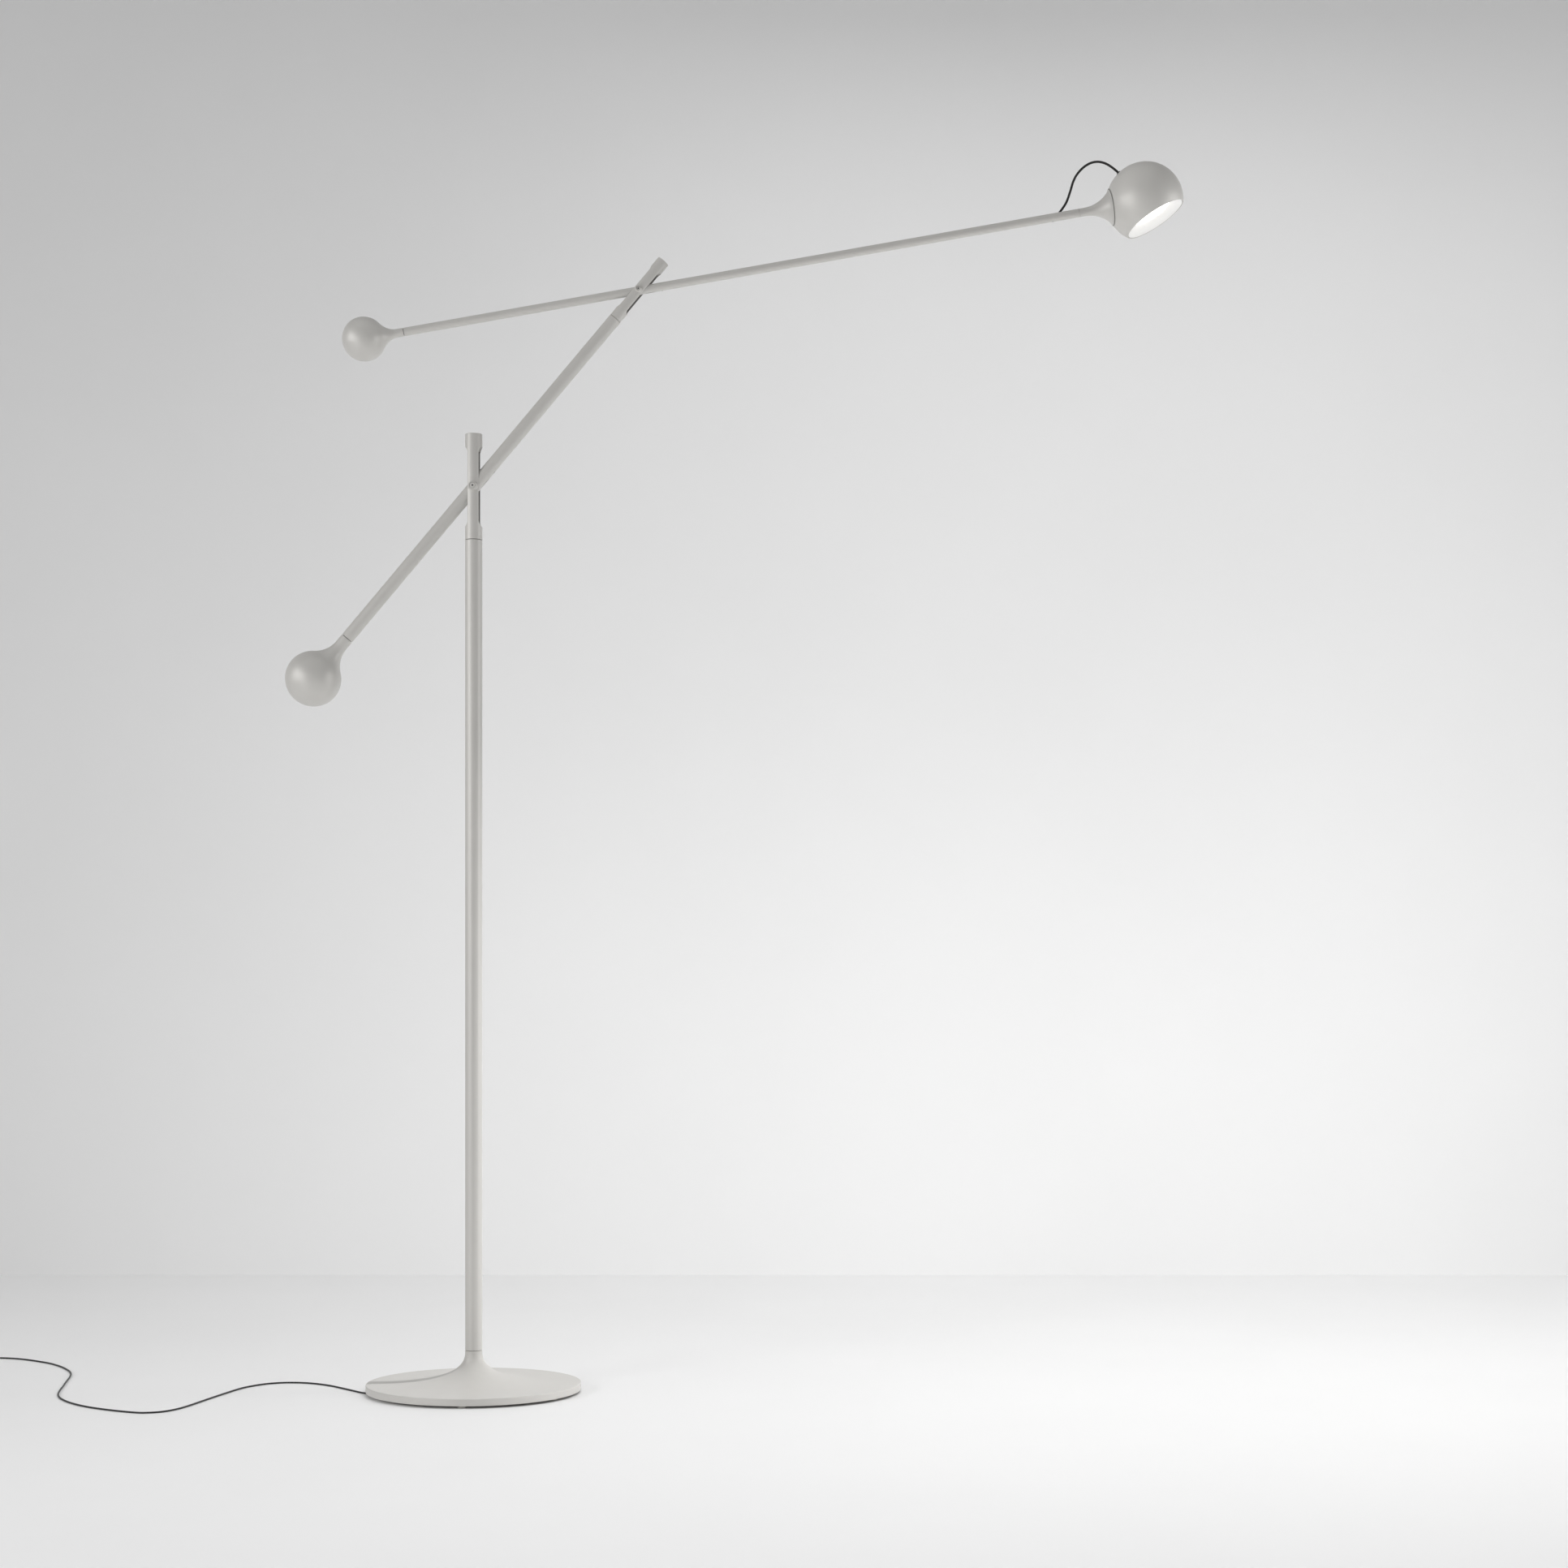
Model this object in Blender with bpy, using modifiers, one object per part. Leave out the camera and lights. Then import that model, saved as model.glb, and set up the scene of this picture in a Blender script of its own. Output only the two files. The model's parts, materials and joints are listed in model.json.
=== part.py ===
"""Adjustable arm floor lamp.

A counterweighted reading lamp: a round cast base, a vertical pole, two tilting arm tubes with ball
counterweights, and a ball-jointed spherical head with an LED light inside it.

All dimensions are in millimetres and become metres when a mesh is made. The origin is on the floor
at the centre of the base, +Z is up, and the arms lie in the XZ plane with the head toward +X.
"""

import bmesh
import bpy
from math import asin, atan2, cos, pi, radians, sin, sqrt
from mathutils import Matrix, Vector

MM = 0.001
GAP = 0.3            # between pieces that touch
FIT = 0.05           # radial clearance of a running fit

# ---------------------------------------------------------------- driving dimensions

FOOT_H = 4.6
BASE_R = 200.0
BASE_RIM_TOP = 18.0
BASE_TOP = 78.7
FLARE_TOP = 78.0
FLARE_POWER = 2.57
RECESS_R = 55.0
RECESS_TOP = 24.0
LEAD_EXIT_ANGLE = radians(187.5)

POLE_R = 16.0
POLE_BORE = 14.0
POLE_BOTTOM = 79.0
POLE_TOP = 1592.85

FORK_BOTTOM = 1593.15
FORK_TOP = 1791.0
LOWER_PIVOT_Z = 1692.0

LOWER_ARM_R = 11.85
LOWER_ARM_BORE = 10.05
LOWER_ARM_ANGLE = radians(50.0)
LOWER_ARM_START = -368.4
LOWER_ARM_END = 410.8
LOWER_BALL_AT = -467.0
LOWER_BALL_R = 51.9
LOWER_BALL_FILLET = 52.0

UPPER_PIVOT_AT = 480.0
UPPER_FORK_END = 551.3

UPPER_ARM_R = 7.75
UPPER_ARM_BORE = 6.45
UPPER_ARM_ANGLE = radians(10.0)
UPPER_ARM_START = -445.9
UPPER_ARM_END = 836.1
UPPER_BALL_AT = -521.5
UPPER_BALL_R = 40.8
UPPER_BALL_FILLET = 37.0

HEAD_AT = 960.5
HEAD_R = 71.75
HEAD_WALL = 1.8
HEAD_OPENING = 39.0          # from the ball's centre to the plane of the opening
HEAD_LEAN = radians(-30.5)
HEAD_ROLL = radians(-4.3)
FLEX_ENTRY_ANGLE = radians(132.5)

CORD_R = 1.6
FLEX_R = 2.2
WIRE_R = 1.2
COIL_R = 17.5                # middle of the coil's turns
COIL_CENTRE = (-1062.0, 440.0)
COIL_Z = 5.7

# ---------------------------------------------------------------- frames


def shift(x, y, z):
    return Matrix.Translation((x * MM, y * MM, z * MM))


def turn_y(angle):
    return Matrix.Rotation(angle, 4, "Y")


ALONG_X = turn_y(pi / 2)                       # turns local +Z into local +X
FRONT = Matrix.Rotation(pi / 2, 4, "X")        # turns local +Z into local -Y
REAR = Matrix.Rotation(-pi / 2, 4, "X")        # turns local +Z into local +Y
UNDER = Matrix.Rotation(pi, 4, "X")            # turns local +Z into local -Z

WORLD = Matrix.Identity(4)
POLE_PIVOT = shift(0, 0, LOWER_PIVOT_Z)
LOWER_ARM = POLE_PIVOT @ turn_y(-LOWER_ARM_ANGLE)
ARM_PIVOT_X = UPPER_PIVOT_AT * cos(LOWER_ARM_ANGLE)
ARM_PIVOT_Z = LOWER_PIVOT_Z + UPPER_PIVOT_AT * sin(LOWER_ARM_ANGLE)
UPPER_ARM = shift(ARM_PIVOT_X, 0, ARM_PIVOT_Z) @ turn_y(-UPPER_ARM_ANGLE)
HEAD_X = ARM_PIVOT_X + HEAD_AT * cos(UPPER_ARM_ANGLE)
HEAD_Z = ARM_PIVOT_Z + HEAD_AT * sin(UPPER_ARM_ANGLE)
BALL = shift(HEAD_X, 0, HEAD_Z)
ROLL_AXIS = Vector((cos(UPPER_ARM_ANGLE), 0, sin(UPPER_ARM_ANGLE)))
ROLL = Matrix.Rotation(HEAD_ROLL, 4, ROLL_AXIS)
HEAD = BALL @ ROLL @ turn_y(HEAD_LEAN)
SOCKET = BALL @ turn_y(-UPPER_ARM_ANGLE - pi / 2)       # local +Z points back down the arm
PLATE = BALL @ ROLL @ turn_y(-UPPER_ARM_ANGLE - pi / 2)
ENTRY = BALL @ turn_y(pi / 2 - FLEX_ENTRY_ANGLE)        # local +Z points out at the flex

# ---------------------------------------------------------------- a clean file and its collections

for old in list(bpy.data.objects):
    bpy.data.objects.remove(old, do_unlink=True)

parts = bpy.data.collections.new("adjustable_arm_floor_lamp")
cutters = bpy.data.collections.new("cutters")
for collection in (parts, cutters):
    bpy.context.scene.collection.children.link(collection)

LOOKS = {
    "paint": ((0.62, 0.60, 0.575), 0.42, 0.0),
    "steel": ((0.55, 0.55, 0.56), 0.35, 1.0),
    "zinc": ((0.60, 0.60, 0.58), 0.45, 1.0),
    "brass": ((0.72, 0.57, 0.30), 0.35, 1.0),
    "aluminium": ((0.75, 0.75, 0.76), 0.40, 1.0),
    "magnet": ((0.50, 0.50, 0.52), 0.25, 1.0),
    "acetal": ((0.85, 0.85, 0.83), 0.50, 0.0),
    "white": ((0.88, 0.88, 0.86), 0.35, 0.0),
    "opal": ((0.95, 0.95, 0.92), 0.30, 0.0),
    "foot": ((0.80, 0.79, 0.76), 0.60, 0.0),
    "black": ((0.02, 0.02, 0.02), 0.50, 0.0),
    "braid": ((0.03, 0.03, 0.03), 0.80, 0.0),
    "board": ((0.86, 0.87, 0.85), 0.45, 0.0),
}


def give_material(obj, look):
    colour, roughness, metallic = LOOKS[look]
    material = bpy.data.materials.new(obj.name + "_" + look)
    material.use_nodes = True
    shader = material.node_tree.nodes["Principled BSDF"]
    shader.inputs["Base Color"].default_value = (*colour, 1.0)
    shader.inputs["Roughness"].default_value = roughness
    shader.inputs["Metallic"].default_value = metallic
    obj.data.materials.clear()
    obj.data.materials.append(material)


def add_object(name, mesh, place, look):
    """Links a mesh as a part, or as a cutter when it has no look."""
    obj = bpy.data.objects.new(name, mesh)
    obj.matrix_world = place
    if look is None:
        cutters.objects.link(obj)
        obj.hide_render = True
        obj.display_type = "WIRE"
    else:
        parts.objects.link(obj)
        give_material(obj, look)
    return obj


# ---------------------------------------------------------------- making shapes


def turned(name, profile, place=WORLD, look=None, steps=24):
    """Turns a profile of (radius, height) points about local Z.

    The profile runs down the outside. One that leaves the axis open is a ring and closes on itself.
    """
    count = len(profile)
    edges = [(i, i + 1) for i in range(count - 1)]
    if profile[0][0] > 0 and profile[-1][0] > 0:
        edges.append((count - 1, 0))
    mesh = bpy.data.meshes.new(name)
    mesh.from_pydata([(r * MM, 0, z * MM) for r, z in profile], edges, [])
    obj = add_object(name, mesh, place, look)
    screw = obj.modifiers.new("turn", "SCREW")
    screw.axis = "Z"
    screw.angle = 2 * pi
    screw.steps = steps
    screw.render_steps = steps
    screw.use_merge_vertices = True
    screw.merge_threshold = 0.00001
    screw.use_smooth_shade = True
    return obj


def rod(radius, bottom, top, edge=0.0):
    """Profile of a solid cylinder with broken edges."""
    if edge == 0:
        return [(0, top), (radius, top), (radius, bottom), (0, bottom)]
    return [(0, top), (radius - edge, top), (radius, top - edge),
            (radius, bottom + edge), (radius - edge, bottom), (0, bottom)]


def pipe(outer, inner, bottom, top):
    """Profile of a hollow cylinder."""
    return [(outer, top), (outer, bottom), (inner, bottom), (inner, top)]


def arc(centre_r, centre_z, radius, start, end, count):
    """Points on a circle, from one polar angle to another, angles from local +Z."""
    return [(centre_r + radius * sin(start + (end - start) * i / count),
             centre_z + radius * cos(start + (end - start) * i / count)) for i in range(count + 1)]


def block(name, low, high, place=WORLD, look=None, bevel=0.0):
    """A box between two corners, with rounded edges when bevel is given."""
    size = [(b - a) * MM for a, b in zip(low, high)]
    middle = [(a + b) / 2 * MM for a, b in zip(low, high)]
    bm = bmesh.new()
    bmesh.ops.create_cube(bm, size=1.0)
    bmesh.ops.scale(bm, vec=size, verts=bm.verts)
    bmesh.ops.translate(bm, vec=middle, verts=bm.verts)
    mesh = bpy.data.meshes.new(name)
    bm.to_mesh(mesh)
    bm.free()
    obj = add_object(name, mesh, place, look)
    if bevel:
        rounding = obj.modifiers.new("edges", "BEVEL")
        rounding.width = bevel * MM
        rounding.segments = 3
        rounding.limit_method = "ANGLE"
    return obj


def slot_cutter(name, half_width, half_length, reach, place, sides=12):
    """A long slot with round ends: wide in Y, long in Z, and cut through along X."""
    bm = bmesh.new()
    across = half_width / cos(pi / sides) * MM
    bmesh.ops.create_cone(bm, cap_ends=True, segments=sides, radius1=across, radius2=across,
                          depth=2 * reach * MM)
    bmesh.ops.rotate(bm, matrix=Matrix.Rotation(pi / sides, 3, "Z"), verts=bm.verts)
    bmesh.ops.rotate(bm, matrix=Matrix.Rotation(pi / 2, 3, "Y"), verts=bm.verts)
    for vert in bm.verts:
        side = 1 if vert.co.z > 0 else -1
        vert.co.z += side * (half_length - half_width) * MM
    mesh = bpy.data.meshes.new(name)
    bm.to_mesh(mesh)
    bm.free()
    return add_object(name, mesh, place, None)


def join(obj, other, operation="DIFFERENCE"):
    boolean = obj.modifiers.new(operation.lower(), "BOOLEAN")
    boolean.operation = operation
    boolean.solver = "EXACT"
    boolean.object = other
    return obj


def smooth_route(points, count):
    """Evenly spaced points on a smooth curve through the given ones."""
    knots = [Vector(p) for p in points]
    ends = [2 * knots[0] - knots[1]] + knots + [2 * knots[-1] - knots[-2]]
    fine = []
    for a, b, c, d in zip(ends, ends[1:], ends[2:], ends[3:]):
        for i in range(24):
            t = i / 24
            fine.append(0.5 * (2 * b + (c - a) * t + (2 * a - 5 * b + 4 * c - d) * t ** 2
                               + (3 * b - a - 3 * c + d) * t ** 3))
    fine.append(knots[-1])
    lengths = [0.0]
    for a, b in zip(fine, fine[1:]):
        lengths.append(lengths[-1] + (b - a).length)
    result = []
    segment = 0
    for i in range(count):
        target = lengths[-1] * i / (count - 1)
        while segment < len(fine) - 2 and lengths[segment + 1] < target:
            segment += 1
        span = lengths[segment + 1] - lengths[segment]
        result.append(fine[segment].lerp(fine[segment + 1], (target - lengths[segment]) / span))
    return result


def cable(name, points, radius, place, look):
    """A round flexible lead along a route, as a closed mesh."""
    curve = bpy.data.curves.new(name + "_route", "CURVE")
    curve.dimensions = "3D"
    curve.bevel_depth = radius * MM
    curve.bevel_resolution = 2
    curve.use_fill_caps = True
    spline = curve.splines.new("POLY")
    spline.points.add(len(points) - 1)
    for point, position in zip(spline.points, points):
        point.co = (*[value * MM for value in position], 1.0)
    guide = add_object(name + "_guide", curve, place, None)
    bpy.context.view_layer.update()
    evaluated = guide.evaluated_get(bpy.context.evaluated_depsgraph_get())
    mesh = bpy.data.meshes.new_from_object(evaluated)
    mesh.name = name
    bm = bmesh.new()
    bm.from_mesh(mesh)
    bmesh.ops.remove_doubles(bm, verts=bm.verts, dist=0.00001)
    bm.to_mesh(mesh)
    bm.free()
    obj = add_object(name, mesh, guide.matrix_world.copy(), look)
    bpy.data.objects.remove(guide, do_unlink=True)
    return obj


# ---------------------------------------------------------------- base


def flare_height(radius):
    """Height of the base's upper surface: a superellipse from the pole to the rim."""
    across = (BASE_R - radius) / (BASE_R - POLE_R)
    drop = (1 - across ** FLARE_POWER) ** (1 / FLARE_POWER)
    return FLARE_TOP - (FLARE_TOP - BASE_RIM_TOP) * drop


flare = []
for i in range(1, 11):
    angle = pi / 2 * i / 10
    radius = BASE_R - (BASE_R - POLE_R) * cos(angle) ** (2 / FLARE_POWER)
    flare.append((min(radius, BASE_R - 1.2), flare_height(min(radius, BASE_R - 1.2))))

base = turned("base_body", [
    (12.1, BASE_TOP), (POLE_R, BASE_TOP), (POLE_R, FLARE_TOP), *flare,
    (BASE_R, BASE_RIM_TOP - 1.4), (BASE_R, FOOT_H + 0.8), (BASE_R - 0.8, FOOT_H),
    (RECESS_R, FOOT_H), (RECESS_R, RECESS_TOP), (7.0, RECESS_TOP), (7.0, 44.0), (12.1, 44.0),
], WORLD, "paint", steps=44)
lead_channel = block("lead_channel", (40, -4.2, 3.0), (194, 4.2, 12.0),
                     Matrix.Rotation(LEAD_EXIT_ANGLE, 4, "Z"))
join(base, lead_channel)

for number, azimuth in enumerate((-150, -90, -30, 30, 90, 150), start=1):
    spot = shift(180 * cos(radians(azimuth)), 180 * sin(radians(azimuth)), 0)
    turned(f"foot_{number}", rod(8.0, 0.0, FOOT_H - GAP, 0.5), spot, "foot", steps=20)

turned("base_cover", rod(RECESS_R - 0.5, 4.9, 6.9), WORLD, "zinc", steps=32)
turned("threaded_nipple", pipe(6.5, 4.5, 16.0, 73.7), WORLD, "zinc", steps=24)
turned("anchor_nut", [(11.0, 21.7), (11.0, 18.0), (10.2, 17.0), (6.6, 17.0), (6.6, 23.7),
                      (16.0, 23.7), (16.0, 22.3), (11.0, 22.3)], WORLD, "zinc", steps=20)
turned("pole_foot_plug", [
    (13.85, 112.0), (13.85, 79.3), (12.0, 79.3), (12.0, 44.3), (6.65, 44.3), (6.65, 74.0),
    (4.5, 74.0), (4.5, 112.0),
], WORLD, "steel")

# ---------------------------------------------------------------- pole and its swivel

turned("pole_tube", pipe(POLE_R, POLE_BORE, POLE_BOTTOM, POLE_TOP), WORLD, "paint")
turned("swivel_bush", pipe(POLE_BORE - 0.1, 11.0 + 2 * FIT, 1545.0, POLE_TOP), WORLD, "acetal")
turned("swivel_ring", pipe(12.6, 10.2, 1542.0, 1544.0), WORLD, "steel")

# ---------------------------------------------------------------- forks


def fork(name, place, radius, top, seam, spigot, bore, slot, boss, screw):
    """A round head with a long slot, and a boss with a recessed screw seat on either cheek.

    Local Z runs along the head, the pivot lies on local Y, and the arm swings through local X.
    """
    bore_r, bore_top = bore
    boss_r, boss_face = boss
    seat_r, seat_at, shank_r = screw
    edge = 0.06 * radius
    body = turned(name, [
        (0, top), *arc(radius - edge, top - edge, edge, 0, pi / 2, 2), (radius, seam), *spigot,
        (bore_r, spigot[-1][1]), (bore_r, bore_top), (0, bore_top),
    ], place, "paint", steps=24)
    for side, turn in (("front", FRONT), ("rear", REAR)):
        pad = turned(f"{name}_{side}_boss", [
            (0, boss_face), (boss_r - 0.5, boss_face), (boss_r, boss_face - 0.5),
            (boss_r, radius + 0.1 * radius), (1.05 * boss_r, 1.02 * radius),
            (1.16 * boss_r, 0.94 * radius), (1.3 * boss_r, 0.86 * radius),
            (1.3 * boss_r, slot[0] + 0.4), (0, slot[0] + 0.4),
        ], place @ turn, steps=16)
        join(body, pad, "UNION")
    join(body, slot_cutter(f"{name}_slot", slot[0], slot[1], 1.5 * radius, place))
    for side, turn in (("front", FRONT), ("rear", REAR)):
        seat = turned(f"{name}_{side}_seat", [
            (0, boss_face + 5), (seat_r, boss_face + 5), (seat_r, seat_at),
            (shank_r, seat_at), (shank_r, slot[0] - 4), (0, slot[0] - 4),
        ], place @ turn, steps=16)
        join(body, seat)
    return body


fork("pole_fork", POLE_PIVOT, POLE_R, FORK_TOP - LOWER_PIVOT_Z, FORK_BOTTOM - LOWER_PIVOT_Z,
     [(11.0, -98.85), (11.0, -147.7), (9.9, -147.7), (9.9, -150.3), (11.0, -150.3), (11.0, -152.0)],
     (5.0, -66.0), (12.15, 75.5), (7.5, 22.5), (5.65, 16.2, 3.1))

FORK_2 = LOWER_ARM @ shift(UPPER_PIVOT_AT, 0, 0) @ ALONG_X
fork("upper_fork", FORK_2, LOWER_ARM_R, UPPER_FORK_END - UPPER_PIVOT_AT,
     LOWER_ARM_END + GAP - UPPER_PIVOT_AT, [(9.9, -68.9), (9.9, -109.0)],
     (4.0, -43.0), (8.05, 50.0), (5.3, 18.5), (3.8, 11.6, 2.1))


def pivot_hardware(prefix, place, head_r, seat_at, shank_r, end_at, hex_r):
    """A hex-socket bolt from the front, a washer under its head and a round nut at the rear."""
    top = seat_at + 6.0 if head_r > 5 else seat_at + 5.6
    under = top - (4.5 if head_r > 5 else 4.3)
    bolt = turned(f"{prefix}_pivot_bolt", [
        (0, top), (head_r - 0.4, top), (head_r, top - 0.4), (head_r, under), (shank_r, under),
        (shank_r, -end_at), (0, -end_at),
    ], place @ FRONT, "steel", steps=24)
    key = turned(f"{prefix}_hex_socket", rod(hex_r, top - 2.6, top + 2), place @ FRONT, steps=6)
    join(bolt, key)
    turned(f"{prefix}_washer", pipe(head_r, shank_r + 0.1, seat_at + GAP, under - GAP),
           place @ FRONT, "zinc", steps=24)
    turned(f"{prefix}_pivot_nut", [
        (head_r, top - 1.4), (head_r, seat_at + GAP), (shank_r + 0.1, seat_at + GAP),
        (shank_r + 0.1, top - 1.4),
    ], place @ REAR, "steel", steps=24)


pivot_hardware("lower", POLE_PIVOT, 5.4, 16.2, 3.0, 21.7, 1.75)
pivot_hardware("upper", FORK_2, 3.55, 11.6, 2.0, 16.4, 1.4)

# ---------------------------------------------------------------- arms


def weight(name, place, start, neck_r, ball_at, ball_r, fillet_r, bore_r, bore_to):
    """A ball that grows out of the tube through a trumpet fillet, bored for its stud.

    Heights run along the arm, and the fillet meets the ball where their circles touch.
    """
    reach = sqrt((ball_r + fillet_r) ** 2 - (neck_r + fillet_r) ** 2)
    meet = atan2(neck_r + fillet_r, reach)
    neck = arc(neck_r + fillet_r, ball_at + reach, fillet_r, -pi / 2, meet - pi, 5)
    ball = turned(name, [(0, start), (neck_r, start), *neck,
                         *arc(0, ball_at, ball_r, meet, pi, 9)[1:-1], (0, ball_at - ball_r)],
                  place, "paint")
    join(ball, turned(name + "_bore", rod(bore_r, bore_to, start + 10), place))


def arm(prefix, place, outer, bore, start, end, core, bush, grub, slit):
    """An arm tube with the solid core, bush and grub screw of its pivot."""
    core_from, core_to, core_bore = core
    bush_r, bush_bore, bush_half = bush
    grub_at, grub_r, grub_tip = grub
    slit_from, slit_to, slit_half = slit
    along = place @ ALONG_X
    tube = turned(f"{prefix}_arm_tube", pipe(outer, bore, start, end), along, "paint")
    solid = turned(f"{prefix}_pivot_core", rod(bore - 0.12, core_from, core_to), along, "aluminium")
    cross = turned(f"{prefix}_cross_bore", rod(bush_r + FIT, -outer - 5, outer + 5),
                   place @ FRONT, steps=24)
    channel = turned(f"{prefix}_wire_bore", rod(core_bore, slit_from - 1, core_to + 5), along,
                     steps=16)
    slit_middle = (slit_from + slit_to) / 2
    mouth = slot_cutter(f"{prefix}_slit", slit_half, (slit_to - slit_from) / 2, outer,
                        place @ shift(slit_middle, 0, -outer) @ turn_y(pi / 2), sides=12)
    hole = turned(f"{prefix}_grub_hole", rod(grub_r + 0.1, grub_tip - 0.2, outer + 4),
                  place @ shift(grub_at, 0, 0) @ UNDER, steps=16)
    for piece in (tube, solid):
        join(piece, cross)
        join(piece, mouth)
        join(piece, hole)
    join(solid, channel)
    turned(f"{prefix}_pivot_bush", pipe(bush_r, bush_bore, -bush_half, bush_half), place @ FRONT,
           "brass", steps=24)
    screw = turned(f"{prefix}_arm_grub", rod(grub_r, grub_tip, outer - 0.4),
                   place @ shift(grub_at, 0, 0) @ UNDER, "steel", steps=16)
    key = turned(f"{prefix}_grub_socket", rod(0.5 * grub_r, outer - 2.4, outer + 2),
                 place @ shift(grub_at, 0, 0) @ UNDER, steps=6)
    join(screw, key)
    return tube


lower_tube = arm("lower", LOWER_ARM, LOWER_ARM_R, LOWER_ARM_BORE, LOWER_ARM_START, LOWER_ARM_END,
                 (-30.0, 56.0, 3.5), (5.0, 3.0 + FIT, 11.7), (46.0, 2.0, 4.6), (14.6, 32.3, 1.45))
upper_tube = arm("upper", UPPER_ARM, UPPER_ARM_R, UPPER_ARM_BORE, UPPER_ARM_START, UPPER_ARM_END,
                 (-20.0, 50.0, 2.4), (3.2, 2.0 + FIT, 7.6), (43.3, 1.5, 3.3), (11.0, 29.0, 1.45))

weight("lower_weight", LOWER_ARM @ ALONG_X, LOWER_ARM_START - GAP, LOWER_ARM_R, LOWER_BALL_AT,
       LOWER_BALL_R, LOWER_BALL_FILLET, 10.0, -430.0)
turned("lower_weight_stud", rod(9.9, -429.5, -338.0), LOWER_ARM @ ALONG_X, "steel")
weight("upper_weight", UPPER_ARM @ ALONG_X, UPPER_ARM_START - GAP, UPPER_ARM_R, UPPER_BALL_AT,
       UPPER_BALL_R, UPPER_BALL_FILLET, 6.4, -492.0)
turned("upper_weight_stud", rod(6.3, -491.5, -420.0), UPPER_ARM @ ALONG_X, "steel")

# ---------------------------------------------------------------- flex guide near the head

GUIDE = (776.0, 808.0)
GUIDE_SLOPE = radians(40.0)
flex_guide = turned("flex_guide", rod(UPPER_ARM_BORE - 0.12, *GUIDE, 0.4), UPPER_ARM @ ALONG_X,
                    "acetal")
flex_way = UPPER_ARM @ shift(789.7, 0, -1.5) @ turn_y(pi / 2 - GUIDE_SLOPE)
flex_hole = turned("flex_hole", rod(FLEX_R + 0.4, -0.6, 30.0), flex_way, steps=16)
wire_hole = turned("wire_hole", rod(FLEX_R + 0.4, -20.0, 2.0),
                   UPPER_ARM @ shift(789.7, 0, -1.5) @ ALONG_X, steps=16)
guide_screw_at = UPPER_ARM @ shift(784.7, 0, 0) @ UNDER
guide_screw_hole = turned("guide_screw_hole", rod(1.6, 4.3, 12.0), guide_screw_at, steps=16)
for piece in (upper_tube, flex_guide):
    join(piece, flex_hole)
    join(piece, guide_screw_hole)
join(flex_guide, wire_hole)
guide_grub = turned("guide_grub", rod(1.5, 4.5, UPPER_ARM_R - 0.4), guide_screw_at, "steel",
                    steps=16)
join(guide_grub, turned("guide_grub_socket", rod(0.75, 6.0, 10.0), guide_screw_at, steps=6))

# ---------------------------------------------------------------- ball joint


def on_ball(radius, polar):
    return (radius * sin(polar), radius * cos(polar))


RING_FROM = radians(7.2)
RING_TO = radians(17.3)
SEAT_R = HEAD_R + 0.3
RING_SEAT_R = 73.4
trumpet = []
for i in range(7):
    along = 45.0 * i / 6
    trumpet.append((UPPER_ARM_R + 62.0 - sqrt(62.0 ** 2 - along ** 2), 113.5 - along))

turned("head_socket", [
    (0, 150.0), (6.3, 150.0), (6.3, HEAD_AT - UPPER_ARM_END - GAP),
    (UPPER_ARM_R, HEAD_AT - UPPER_ARM_END - GAP), *trumpet, (31.2, 65.9), (34.3, 64.0),
    *arc(0, 0, SEAT_R, radians(28.4), radians(17.5), 3),
    *arc(0, 0, RING_SEAT_R, radians(17.5), radians(7.0), 3),
    on_ball(SEAT_R, radians(7.0)), (7.4, 71.6), (7.4, 81.0), (0, 81.0),
], SOCKET, "paint", steps=32)
turned("socket_magnet", rod(7.1, 72.1, 80.7, 0.2), SOCKET, "magnet", steps=24)
turned("socket_ring", [
    *arc(0, 0, RING_SEAT_R - 0.08, RING_FROM, RING_TO, 3),
    *arc(0, 0, HEAD_R + 0.1, RING_TO, RING_FROM, 3),
], PLATE, "acetal", steps=32)

# ---------------------------------------------------------------- head

INNER_R = HEAD_R - HEAD_WALL
lip = pi - asin(sqrt(HEAD_R ** 2 - HEAD_OPENING ** 2) / HEAD_R)
inner_lip = pi - asin(sqrt(INNER_R ** 2 - HEAD_OPENING ** 2) / INNER_R)
shell = turned("head_shell", [
    (0, HEAD_R), *arc(0, 0, HEAD_R, 0, lip, 16)[1:], *arc(0, 0, INNER_R, inner_lip, 0, 10)[:-1],
    (0, INNER_R),
], HEAD, "paint", steps=32)
join(shell, turned("entry_hole", rod(3.2, 60.0, 80.0), ENTRY, steps=20))
turned("head_gland", [
    (3.3, 73.5), (4.1, 72.9), (4.1, HEAD_R + 0.35), (2.95, HEAD_R + 0.35), (2.95, 68.6),
    (FLEX_R + 0.15, 68.6), (FLEX_R + 0.15, 73.5),
], ENTRY, "black", steps=20)
PLATE_R = INNER_R - 1.0
turned("contact_plate", [
    (0, PLATE_R), *arc(0, 0, PLATE_R, 0, radians(32.0), 4)[1:],
    *arc(0, 0, PLATE_R - 1.6, radians(32.0), 0, 4)[:-1], (0, PLATE_R - 1.6),
], PLATE, "zinc", steps=24)
turned("reflector", [
    (37.2, -17.0), (37.2, -25.6), (57.2, -37.2), (57.7, -38.6), (56.8, -38.8), (36.0, -27.2),
    (36.0, -17.0),
], HEAD, "white", steps=32)
turned("diffuser", rod(35.6, -26.3, -24.3), HEAD, "opal", steps=32)
turned("led_board", rod(35.0, -20.0, -18.4), HEAD, "board", steps=24)
fins = [(0, -6.0), (5.0, -6.0), (5.0, -13.2)]
for fin_r in (13.0, 25.0):
    fins += [(fin_r, -13.2), (fin_r, -5.0), (fin_r + 1.8, -5.0), (fin_r + 1.8, -13.2)]
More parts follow.
